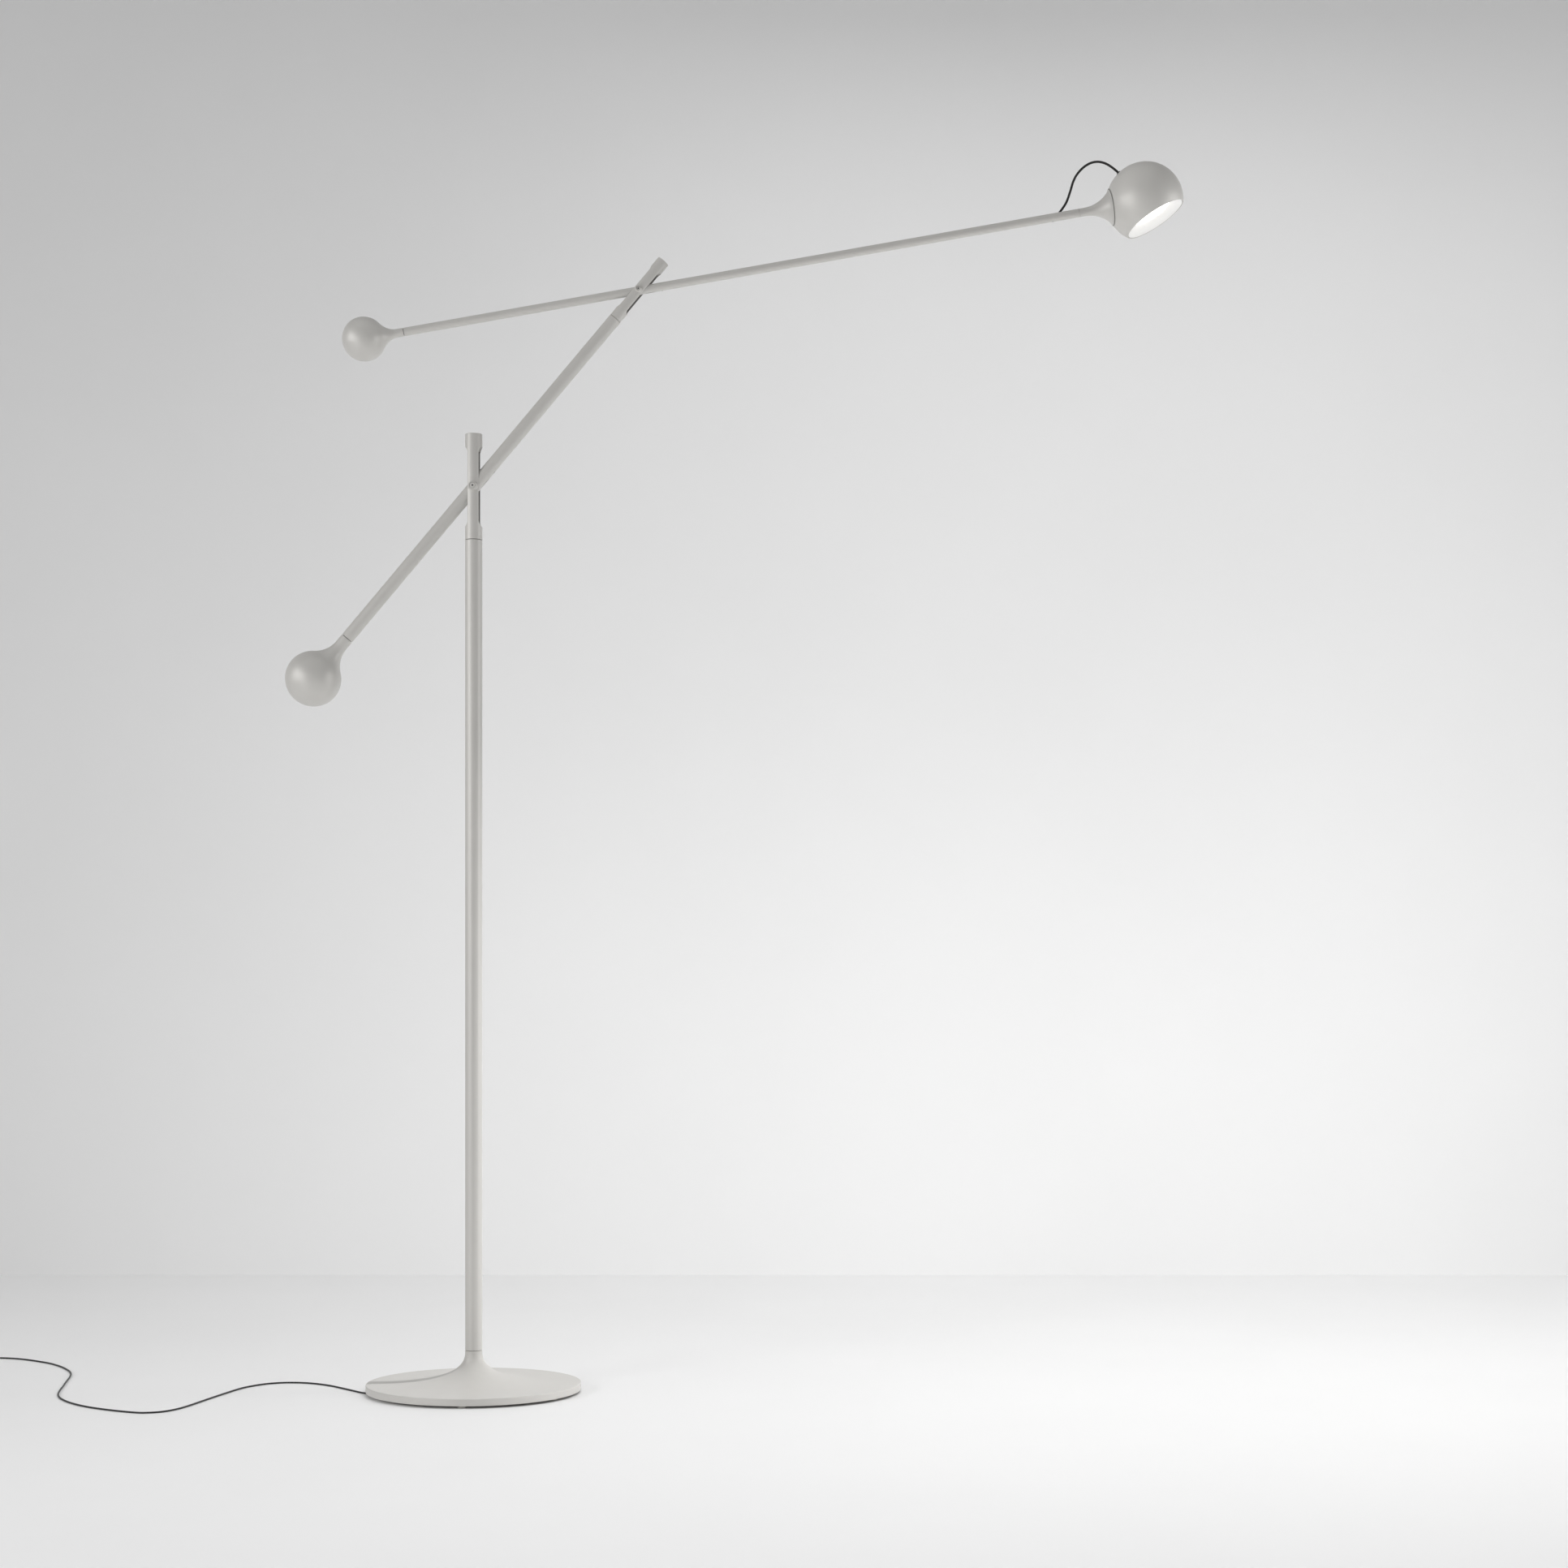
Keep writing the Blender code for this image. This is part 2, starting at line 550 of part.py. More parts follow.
turned("heat_sink", [*fins, (37.0, -13.2), (37.0, -16.7), (0, -16.7)], HEAD, "aluminium", steps=24)

# ---------------------------------------------------------------- leads, flex and floor cord

EXIT = Vector((cos(LEAD_EXIT_ANGLE), sin(LEAD_EXIT_ANGLE), 0))


def under_base(radius, height):
    return (EXIT.x * radius, EXIT.y * radius, height)


BEND = 12.8
turn_points = [under_base(BEND * (1 - cos(pi / 2 * i / 6)), 21.6 - BEND * sin(pi / 2 * i / 6))
               for i in range(7)]
cable("base_lead", [(0, 0, 46.0), (0, 0, 34.0), *turn_points, under_base(36, 8.8),
                    under_base(60, 8.7), under_base(105, 6.9), under_base(149.7, 5.0)],
      CORD_R, WORLD, "black")
cable("pole_lead", [(0, 0, 46.3), (0, 0, 800.0), (0, 0, 1612.0)], CORD_R, WORLD, "black")

relief_start = Vector(under_base(150, 5.0))
relief_end = Vector(under_base(190, 2.3))
relief_axis = relief_end - relief_start
relief_place = shift(*relief_start) @ relief_axis.to_track_quat("Z", "Y").to_matrix().to_4x4()
turned("cord_relief", [(0, relief_axis.length), (1.95, relief_axis.length), (2.2, 34.0),
                       (3.1, 6.0), (3.2, 0), (0, 0)], relief_place, "black", steps=16)

cable("lower_arm_lead", smooth_route([(20.5, 0, -10.2), (23.5, 0, -5.0), (30, 0, -1.4), (40, 0, 0),
                                      (70, 0, 0)], 9) + [(250, 0, 0), (446, 0, 0)],
      WIRE_R, LOWER_ARM, "braid")
cable("upper_arm_lead", smooth_route([(16.0, 0, -6.6), (19.0, 0, -3.2), (25, 0, -0.6), (33, 0, 0),
                                      (60, 0, 0)], 9)
      + [(400, 0, 0), (740, 0, 0), (765, 0, -0.9), (776, 0, -1.5), (786, 0, -1.5)],
      WIRE_R, UPPER_ARM, "braid")

loop = [(789.7, 0, -1.5), (799.2, 0, 6.5), (815.0, 0, 22.7), (826.8, 0, 43.0), (834.0, 0, 57.5),
        (843.2, 0, 70.3), (856.6, 0, 81.3), (871.6, 0, 87.8), (885.8, 0, 88.4), (899.2, 0, 83.4),
        (911.4, 0, 73.2)]
for depth in (71.75, 66.0):
    loop.append((HEAD_AT + depth * cos(FLEX_ENTRY_ANGLE - UPPER_ARM_ANGLE), 0,
                 depth * sin(FLEX_ENTRY_ANGLE - UPPER_ARM_ANGLE)))
flex_route = smooth_route(loop, 31)
seam = 17
start_of_upper = flex_route[seam].lerp(flex_route[seam + 1], 0.07)
cable("head_flex_lower", flex_route[:seam + 1], FLEX_R, UPPER_ARM, "braid")
cable("head_flex_upper", [start_of_upper] + flex_route[seam + 1:], FLEX_R, UPPER_ARM, "braid")

FLOOR = CORD_R + 0.1
floor_points = [
    (-207, -16), (-225, 6), (-248, 34), (-279, 70), (-308, 94), (-335, 108),
    (-361, 112), (-385, 108), (-408, 94), (-428, 68), (-445, 32), (-470, -66), (-494, -172),
    (-508, -214), (-525, -239), (-546, -250), (-569, -249), (-621, -222), (-681, -177),
    (-733, -113), (-767, -36), (-791, 94), (-815, 225), (-849, 304), (-892, 367), (-929, 403),
    (-965, 431), (-995, 447), (-1022, 454),
]
cord_start = [under_base(190.9, 2.2), under_base(195.0, 1.9)]
route = [*cord_start, *[(x, y, FLOOR) for x, y in floor_points], (-1045.8, 457.3, FLOOR + 0.2)]
cable("power_cord", smooth_route(route, 56), CORD_R, WORLD, "black")

COIL = shift(*COIL_CENTRE, COIL_Z)
HALF = 4.8                   # half the thickness of the bundle of turns
CORNER = HALF - 1.4
turned("power_cord_coil", [
    (COIL_R + CORNER, HALF), (COIL_R + HALF, CORNER), (COIL_R + HALF, -CORNER),
    (COIL_R + CORNER, -HALF), (COIL_R - CORNER, -HALF), (COIL_R - HALF, -CORNER),
    (COIL_R - HALF, CORNER), (COIL_R - CORNER, HALF),
], COIL, "black", steps=24)
TIE = COIL @ Matrix.Rotation(radians(-40), 4, "Z")
tie = block("cord_tie", (COIL_R - HALF - 1.1, -2.5, -HALF - 0.8),
            (COIL_R + HALF + 0.9, 2.5, HALF + 0.8), TIE, "black")
join(tie, block("tie_opening", (COIL_R - HALF - 0.5, -5, -HALF - 0.3),
                (COIL_R + HALF + 0.3, 5, HALF + 0.3), TIE))

PLUG_X = COIL_CENTRE[0] - COIL_R
PLUG_Z = 4.7                 # height at which the cord enters the plug
PIN_Z = 13.2
cable("cord_tail", smooth_route([(PLUG_X, 423.6, 7.4), (PLUG_X, 412, 4.2), (PLUG_X, 401, 3.3),
                                 (PLUG_X, 390.3, PLUG_Z)], 10), CORD_R, WORLD, "black")
plug = block("plug_body", (PLUG_X - 17, 320, 0.2), (PLUG_X + 17, 368, 26.2), WORLD, "black", 3.0)
relief = turned("plug_relief", [(0, 390.0), (2.1, 390.0), (4.3, 367.0), (0, 367.0)],
                shift(PLUG_X, 0, PLUG_Z) @ REAR, steps=16)
join(plug, relief, "UNION")
for number, side in ((1, -1), (2, 1)):
    turned(f"plug_pin_{number}", rod(2.0, 300.7, 319.7, 0.6),
           shift(PLUG_X + 9.5 * side, 0, PIN_Z) @ REAR, "steel", steps=12)

# ---------------------------------------------------------------- settle the meshes

bpy.context.view_layer.update()
depsgraph = bpy.context.evaluated_depsgraph_get()
settled = {obj: bpy.data.meshes.new_from_object(obj.evaluated_get(depsgraph))
           for obj in parts.objects}
for obj, mesh in settled.items():
    obj.modifiers.clear()
    mesh.name = obj.name
    obj.data = mesh
    mesh.shade_smooth()
    mesh.set_sharp_from_angle(angle=radians(35))
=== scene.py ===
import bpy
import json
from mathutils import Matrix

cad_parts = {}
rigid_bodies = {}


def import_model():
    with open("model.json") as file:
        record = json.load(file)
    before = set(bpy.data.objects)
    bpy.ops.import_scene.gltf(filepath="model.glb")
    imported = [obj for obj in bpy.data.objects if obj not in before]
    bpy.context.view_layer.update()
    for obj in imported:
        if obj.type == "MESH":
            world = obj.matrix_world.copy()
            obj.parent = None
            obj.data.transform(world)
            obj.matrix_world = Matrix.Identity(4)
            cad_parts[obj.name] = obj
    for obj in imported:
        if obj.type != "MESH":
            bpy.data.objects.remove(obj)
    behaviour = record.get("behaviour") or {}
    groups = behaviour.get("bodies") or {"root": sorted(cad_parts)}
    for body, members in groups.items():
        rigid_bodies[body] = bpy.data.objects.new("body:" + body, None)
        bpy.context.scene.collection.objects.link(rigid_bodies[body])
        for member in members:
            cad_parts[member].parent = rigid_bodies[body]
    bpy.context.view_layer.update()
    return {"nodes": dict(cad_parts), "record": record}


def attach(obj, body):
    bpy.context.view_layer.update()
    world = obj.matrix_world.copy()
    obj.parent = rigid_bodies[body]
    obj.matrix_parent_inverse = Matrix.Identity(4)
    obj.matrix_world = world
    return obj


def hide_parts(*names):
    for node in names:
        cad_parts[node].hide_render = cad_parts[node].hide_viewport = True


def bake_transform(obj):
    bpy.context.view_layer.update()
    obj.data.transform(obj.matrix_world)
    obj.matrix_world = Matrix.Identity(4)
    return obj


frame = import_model()

import json
from math import asin, atan2, ceil, cos, pi, radians, sin, sqrt

import bmesh
import bpy
from mathutils import Matrix, Vector

MM = 0.001

# ------------------------------------------------------------ dimensions, in millimetres

GAP = 0.3
FOOT_H = 4.6
BASE_R, BASE_RIM_TOP, BASE_TOP, FLARE_TOP, FLARE_POWER = 200.0, 18.0, 78.7, 78.0, 2.57
RIM_ROUND, RIM_UNDER_ROUND = 1.6, 1.2
RECESS_R, RECESS_TOP = 55.0, 24.0
NIPPLE_HOLE_R, POLE_PLUG_HOLE_R, POLE_PLUG_HOLE_BOTTOM = 7.0, 12.1, 44.0
FOOT_R, FOOT_CIRCLE_R = 8.0, 180.0
LEAD_EXIT_ANGLE = radians(187.5)
POLE_R, POLE_BORE, POLE_BOTTOM, POLE_TOP = 16.0, 14.0, 79.0, 1592.85
FORK_BOTTOM, FORK_TOP, LOWER_PIVOT_Z = 1593.15, 1791.0, 1692.0
LOWER_ARM_R, LOWER_ARM_BORE = 11.85, 10.05
LOWER_ARM_ANGLE, LOWER_ARM_START, LOWER_ARM_END = radians(50.0), -368.4, 410.8
LOWER_BALL_AT, LOWER_BALL_R, LOWER_BALL_FILLET = -467.0, 51.9, 52.0
UPPER_PIVOT_AT, UPPER_FORK_END = 480.0, 551.3
UPPER_ARM_R, UPPER_ARM_BORE = 7.75, 6.45
UPPER_ARM_ANGLE, UPPER_ARM_START, UPPER_ARM_END = radians(10.0), -445.9, 836.1
UPPER_BALL_AT, UPPER_BALL_R, UPPER_BALL_FILLET = -521.5, 40.8, 37.0
HEAD_AT, HEAD_R, HEAD_WALL, HEAD_OPENING = 960.5, 71.75, 1.8, 39.0
HEAD_LEAN, HEAD_ROLL, FLEX_ENTRY_ANGLE = radians(-30.5), radians(-4.3), radians(132.5)
CORD_R, FLEX_R, FLEX_START = 1.6, 2.2, (789.7, 0, -1.5)
SEAM = 0.35          # how far a painted end is drawn back at a joint line
END_EDGE = 0.25      # the small chamfer on a tube's end
COIL_R, COIL_HALF, COIL_CENTRE, COIL_Z = 17.5, 4.8, (-1062.0, 440.0), 5.7
TIE_ANGLE, TIE_HALF_WIDTH = radians(-40), 2.5
PLUG_X, PLUG_HALF_WIDTH, PLUG_NEAR, PLUG_FAR = COIL_CENTRE[0] - COIL_R, 17, 320, 368
PLUG_BOTTOM, PLUG_TOP, PLUG_CORD_Z, PLUG_EDGE = 0.2, 26.2, 4.7, 3.0
PIN_R, PIN_SIDE, PIN_Z, PIN_FROM, PIN_TO = 2.0, 9.5, 13.2, 300.7, 319.7
WALL_Y, WALL_TOP, STAGE_REACH = 2.07, 8, 9    # in metres


def shift(x, y, z):
    return Matrix.Translation((x * MM, y * MM, z * MM))


def turn_y(angle):
    return Matrix.Rotation(angle, 4, "Y")


ALONG_X = turn_y(pi / 2)
FRONT = Matrix.Rotation(pi / 2, 4, "X")
REAR = Matrix.Rotation(-pi / 2, 4, "X")
UNDER = Matrix.Rotation(pi, 4, "X")
WORLD = Matrix.Identity(4)
POLE_PIVOT = shift(0, 0, LOWER_PIVOT_Z)
LOWER_ARM = POLE_PIVOT @ turn_y(-LOWER_ARM_ANGLE)
ARM_PIVOT_X = UPPER_PIVOT_AT * cos(LOWER_ARM_ANGLE)
ARM_PIVOT_Z = LOWER_PIVOT_Z + UPPER_PIVOT_AT * sin(LOWER_ARM_ANGLE)
UPPER_ARM = shift(ARM_PIVOT_X, 0, ARM_PIVOT_Z) @ turn_y(-UPPER_ARM_ANGLE)
FORK_2 = LOWER_ARM @ shift(UPPER_PIVOT_AT, 0, 0) @ ALONG_X
HEAD_X = ARM_PIVOT_X + HEAD_AT * cos(UPPER_ARM_ANGLE)
HEAD_Z = ARM_PIVOT_Z + HEAD_AT * sin(UPPER_ARM_ANGLE)
BALL = shift(HEAD_X, 0, HEAD_Z)
ROLL = Matrix.Rotation(HEAD_ROLL, 4, Vector((cos(UPPER_ARM_ANGLE), 0, sin(UPPER_ARM_ANGLE))))
HEAD = BALL @ ROLL @ turn_y(HEAD_LEAN)
SOCKET = BALL @ turn_y(-UPPER_ARM_ANGLE - pi / 2)
ENTRY = BALL @ turn_y(pi / 2 - FLEX_ENTRY_ANGLE)

# ------------------------------------------------------------ camera

camera_data = bpy.data.cameras.new("camera")
camera_data.lens = 59.63
camera_data.sensor_width = 36.0
camera_data.shift_y = 0.1377
camera = bpy.data.objects.new("camera", camera_data)
camera.location = (0.580, -4.856, 0.7336)
camera.rotation_euler = (pi / 2, 0, 0)
bpy.context.scene.collection.objects.link(camera)
bpy.context.scene.camera = camera

# ------------------------------------------------------------ materials


class Nodes:
    """A small helper that builds one material's node tree."""

    def __init__(self, name):
        self.material = bpy.data.materials.new(name)
        self.material.use_nodes = True
        self.tree = self.material.node_tree
        self.shader = self.tree.nodes["Principled BSDF"]

    def set(self, **values):
        for key, value in values.items():
            self.shader.inputs[key.replace("_", " ")].default_value = value
        return self

    def add(self, kind, **values):
        node = self.tree.nodes.new(kind)
        for key, value in values.items():
            setattr(node, key, value)
        return node

    def link(self, source, target):
        self.tree.links.new(source, target)

    def coords(self, which="Object"):
        return self.add("ShaderNodeTexCoord").outputs[which]

    def noise(self, scale, detail=3.0, rough=0.5):
        node = self.add("ShaderNodeTexNoise")
        node.inputs["Scale"].default_value = scale
        node.inputs["Detail"].default_value = detail
        node.inputs["Roughness"].default_value = rough
        self.link(self.coords(), node.inputs["Vector"])
        return node.outputs["Fac"]

    def math(self, operation, a, b=None):
        node = self.add("ShaderNodeMath", operation=operation)
        for socket, value in zip(node.inputs, (a, b)):
            if value is None:
                continue
            if isinstance(value, (int, float)):
                socket.default_value = value
            else:
                self.link(value, socket)
        return node.outputs[0]

    def mapped(self, fac, low, high):
        node = self.add("ShaderNodeMapRange")
        node.inputs["To Min"].default_value = low
        node.inputs["To Max"].default_value = high
        self.link(fac, node.inputs["Value"])
        return node.outputs["Result"]

    def ramp(self, fac, *stops):
        node = self.add("ShaderNodeValToRGB")
        ramp = node.color_ramp
        while len(ramp.elements) < len(stops):
            ramp.elements.new(0.5)
        for element, (position, colour) in zip(ramp.elements, stops):
            element.position = position
            element.color = (*colour, 1.0)
        self.link(fac, node.inputs["Fac"])
        return node.outputs["Color"]

    def bump(self, height, strength, distance, normal=None):
        node = self.add("ShaderNodeBump")
        node.inputs["Strength"].default_value = strength
        node.inputs["Distance"].default_value = distance
        self.link(height, node.inputs["Height"])
        if normal is not None:
            self.link(normal, node.inputs["Normal"])
        self.link(node.outputs["Normal"], self.shader.inputs["Normal"])
        return node.outputs["Normal"]


def shade(colour, factor):
    return tuple(min(1.0, c * factor) for c in colour)


def paint_material(name, colour, roughness=0.42, texture=0.10):
    """Powder coat: a fine orange peel, faint clouding and a thin clear sheen."""
    n = Nodes(name).set(Roughness=roughness, Metallic=0.20)
    cloud = n.noise(14.0, 4.0, 0.55)
    n.link(n.ramp(cloud, (0.30, shade(colour, 0.985)), (0.70, shade(colour, 1.015))),
           n.shader.inputs["Base Color"])
    grain = n.noise(2600.0, 2.0, 0.6)
    n.link(n.mapped(grain, roughness - 0.035, roughness + 0.035), n.shader.inputs["Roughness"])
    peel = n.noise(620.0, 2.0, 0.5)
    soft = n.bump(peel, texture, 0.0002)
    n.bump(grain, texture * 0.6, 0.00005, soft)
    n.set(Coat_Weight=0.04, Coat_Roughness=0.45)
    return n.material


def metal_material(name, colour, roughness, scale=900.0):
    """Turned metal with a faint grain in its sheen."""
    n = Nodes(name).set(Metallic=1.0, Roughness=roughness)
    grain = n.noise(scale, 4.0, 0.6)
    n.link(n.ramp(grain, (0.25, shade(colour, 0.94)), (0.75, shade(colour, 1.05))),
           n.shader.inputs["Base Color"])
    n.link(n.mapped(grain, roughness - 0.06, roughness + 0.06), n.shader.inputs["Roughness"])
    n.bump(grain, 0.12, 0.00004)
    return n.material


def plastic_material(name, colour, roughness, grain_scale=1800.0, strength=0.10):
    """Moulded plastic or rubber with a fine grain."""
    n = Nodes(name).set(Roughness=roughness)
    grain = n.noise(grain_scale, 3.0, 0.55)
    n.link(n.ramp(grain, (0.2, shade(colour, 0.93)), (0.8, shade(colour, 1.06))),
           n.shader.inputs["Base Color"])
    n.link(n.mapped(grain, roughness - 0.05, roughness + 0.05), n.shader.inputs["Roughness"])
    n.bump(grain, strength, 0.00006)
    return n.material


def braid_material(name, turns, picks, dark, light):
    """A braided sleeve: two crossing families of threads, from the tube's own coordinates."""
    n = Nodes(name).set(Roughness=0.82, Sheen_Weight=0.15, Sheen_Roughness=0.4)
    split = n.add("ShaderNodeSeparateXYZ")
    n.link(n.coords("UV"), split.inputs[0])
    along = n.math("MULTIPLY", split.outputs[0], 2 * pi * picks)
    around = n.math("MULTIPLY", split.outputs[1], 2 * pi * turns)
    right = n.math("ABSOLUTE", n.math("SINE", n.math("ADD", along, around)))
    left = n.math("ABSOLUTE", n.math("SINE", n.math("SUBTRACT", along, around)))
    over = n.math("MAXIMUM", right, left)
    fuzz = n.noise(5200.0, 3.0, 0.6)
    height = n.math("ADD", over, n.math("MULTIPLY", fuzz, 0.25))
    n.link(n.ramp(over, (0.55, dark), (1.0, light)), n.shader.inputs["Base Color"])
    n.bump(height, 0.55, 0.00035)
    return n.material


PAINT = (0.625, 0.612, 0.585)
paint = paint_material("satin_paint", PAINT)
base_paint = paint_material("satin_paint_base", PAINT, 0.48, 0.12)
head_paint = paint_material("satin_paint_head", PAINT, 0.44, 0.09)
screw_paint = paint_material("satin_paint_screw", shade(PAINT, 1.06), 0.40, 0.05)
# a darker copy of the paint, put on the fork slots' inner walls and beside the socket's seam as painted
# shade
painted_shade_paint = paint_material("satin_paint_painted_shade", shade(PAINT, 0.42), 0.60, 0.12)
bright_steel = metal_material("bright_steel", (0.78, 0.77, 0.75), 0.30)
dark_steel = metal_material("dark_steel", (0.10, 0.10, 0.10), 0.45)
zinc = metal_material("zinc_plate", (0.55, 0.55, 0.53), 0.42)
white = plastic_material("reflector_white_painted_glow", (0.82, 0.815, 0.805), 0.42)
reflector_glow_shader = white.node_tree.nodes["Principled BSDF"]
# the reflector's emission is painted light: a glow in place of the lamp's light falling on the white
# reflector
reflector_glow_shader.inputs["Emission Color"].default_value = (1.0, 0.985, 0.96, 1.0)
reflector_glow_shader.inputs["Emission Strength"].default_value = 0.17
foot_rubber = plastic_material("foot_rubber", (0.78, 0.76, 0.72), 0.62, 900.0, 0.2)
cord_jacket = plastic_material("cord_jacket", (0.014, 0.014, 0.015), 0.46, 2400.0, 0.15)
black_plastic = plastic_material("black_plastic", (0.020, 0.020, 0.021), 0.52, 1500.0, 0.25)
braid = braid_material("flex_braid", 9.0, 46.0, (0.006, 0.006, 0.006), (0.045, 0.044, 0.042))


def glow_material():
    """Opal diffuser with a faintly blotchy warm glow and a fine matt grain."""
    n = Nodes("opal_glow").set(Roughness=0.45)
    n.set(Base_Color=(0.93, 0.92, 0.88, 1.0), Emission_Strength=2.6)
    grain = n.noise(1500.0, 3.0, 0.5)
    spots = n.noise(55.0, 2.0, 0.4)
    n.link(n.ramp(spots, (0.3, (1.0, 0.955, 0.87)), (0.7, (1.0, 0.97, 0.90))),
           n.shader.inputs["Emission Color"])
    n.bump(grain, 0.1, 0.00005)
    return n.material


glow = glow_material()

# ------------------------------------------------------------ making shapes

scene_collection = bpy.context.scene.collection


def link(name, mesh, place):
    obj = bpy.data.objects.new(name, mesh)
    obj.matrix_world = place
    scene_collection.objects.link(obj)
    return obj


def solid(name, profile, place=WORLD, steps=96):
    """A closed turned mesh from (radius, height) points that run down its outside."""
    ring_shape = profile[0][0] > 0 and profile[-1][0] > 0
    verts, rows, faces = [], [], []
    for r, z in profile:
        if r <= 0:
            rows.append([len(verts)] * steps)
            verts.append((0.0, 0.0, z * MM))
        else:
            rows.append(list(range(len(verts), len(verts) + steps)))
            verts += [(r * MM * cos(2 * pi * i / steps), r * MM * sin(2 * pi * i / steps), z * MM)
                      for i in range(steps)]
    pairs = list(zip(rows, rows[1:]))
    if ring_shape:
        pairs.append((rows[-1], rows[0]))
    for upper, lower in pairs:
        for i in range(steps):
            j = (i + 1) % steps
            face = []
            for index in (upper[i], lower[i], lower[j], upper[j]):
                if index not in face:
                    face.append(index)
            if len(face) > 2:
                faces.append(face)
    mesh = bpy.data.meshes.new(name)
    mesh.from_pydata(verts, [], faces)
    return link(name, mesh, place)


def rod(radius, bottom, top, edge=0.0):
    """The outline of a solid cylinder, with rounded rims if it has an edge."""
    if edge == 0:
        return [(0, top), (radius, top), (radius, bottom), (0, bottom)]
    return [(0, top), *arc(radius - edge, top - edge, edge, 0, pi / 2, 5),
            *arc(radius - edge, bottom + edge, edge, pi / 2, pi, 5), (0, bottom)]


def pipe(outer, inner, bottom, top, edge=0.0):
    """The outline of a hollow cylinder, with its outer rims cut back by the edge."""
    if edge == 0:
        return [(outer, top), (outer, bottom), (inner, bottom), (inner, top)]
    return [(inner, top), (outer - edge, top), (outer, top - edge), (outer, bottom + edge),
            (outer - edge, bottom), (inner, bottom)]


def arc(centre_r, centre_z, radius, start, end, count):
    """Outline points on a circle, with angles counted from its top toward the outside."""
    return [(centre_r + radius * sin(start + (end - start) * i / count),
             centre_z + radius * cos(start + (end - start) * i / count)) for i in range(count + 1)]


def block(name, low, high, place=WORLD):
    bm = bmesh.new()
    bmesh.ops.create_cube(bm, size=1.0)
    bmesh.ops.scale(bm, vec=[(b - a) * MM for a, b in zip(low, high)], verts=bm.verts)
    bmesh.ops.translate(bm, vec=[(a + b) / 2 * MM for a, b in zip(low, high)], verts=bm.verts)
    mesh = bpy.data.meshes.new(name)
    bm.to_mesh(mesh)
    bm.free()
    return link(name, mesh, place)


def slot_cutter(name, half_width, half_length, reach, place, sides=64):
    """A bar along X that cuts a hole with round ends, long in Z."""
    bm = bmesh.new()
    across = half_width / cos(pi / sides) * MM
    bmesh.ops.create_cone(bm, cap_ends=True, segments=sides, radius1=across, radius2=across,
                          depth=2 * reach * MM)
    bmesh.ops.rotate(bm, matrix=Matrix.Rotation(pi / sides, 3, "Z"), verts=bm.verts)
    bmesh.ops.rotate(bm, matrix=Matrix.Rotation(pi / 2, 3, "Y"), verts=bm.verts)
    for vert in bm.verts:
        vert.co.z += (1 if vert.co.z > 0 else -1) * (half_length - half_width) * MM
    mesh = bpy.data.meshes.new(name)
    bm.to_mesh(mesh)
    bm.free()
    return link(name, mesh, place)


def carve(obj, *others, operation="DIFFERENCE"):
    """Cuts or joins the given shapes, then removes them."""
    for other in others:
        boolean = obj.modifiers.new("carve", "BOOLEAN")
        boolean.operation = operation
        boolean.solver = "EXACT"
        boolean.object = other
    bake(obj)
    for other in others:
        bpy.data.objects.remove(other, do_unlink=True)


def bake(obj):
    """Puts the modifiers' result in place of the mesh."""
    bpy.context.view_layer.update()
    evaluated = obj.evaluated_get(bpy.context.evaluated_depsgraph_get())
    mesh = bpy.data.meshes.new_from_object(evaluated)
    obj.modifiers.clear()
    obj.data = mesh


def refinish(obj, material, chosen):
    """Gives a second material to the faces that are chosen by their centre and normal."""
    obj.data.materials.append(material)
    for face in obj.data.polygons:
        if chosen(face.center, face.normal):
            face.material_index = 1


def round_edges(obj, width, segments=3, angle=32):
    bevel = obj.modifiers.new("edges", "BEVEL")
    bevel.width = width * MM
    bevel.segments = segments
    bevel.limit_method = "ANGLE"
    bevel.angle_limit = radians(angle)
    bake(obj)


def piece(obj, material, body, slot, *nodes, sharp=34):
    """Finishes a piece: shading, material, the body it rides on, and the CAD nodes it stands for."""
    obj.data.transform(obj.matrix_world)
    obj.matrix_world = WORLD
    obj.data.shade_smooth()
    obj.data.set_sharp_from_angle(angle=radians(sharp))
    obj.data.materials.clear()
    obj.data.materials.append(material)
    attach(obj, body)
    if nodes:
        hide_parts(*nodes)
    return obj


def smooth_route(points, spacing):
    """Points about one spacing apart on a smooth curve through the given ones."""
    knots = [Vector(p) for p in points]
    ends = [2 * knots[0] - knots[1]] + knots + [2 * knots[-1] - knots[-2]]
    fine = []
    for a, b, c, d in zip(ends, ends[1:], ends[2:], ends[3:]):
        count = max(1, ceil((c - b).length / spacing))
        for i in range(count):
            t = i / count
            fine.append(0.5 * (2 * b + (c - a) * t + (2 * a - 5 * b + 4 * c - d) * t ** 2
                               + (3 * b - a - 3 * c + d) * t ** 3))
    fine.append(knots[-1])
    return fine


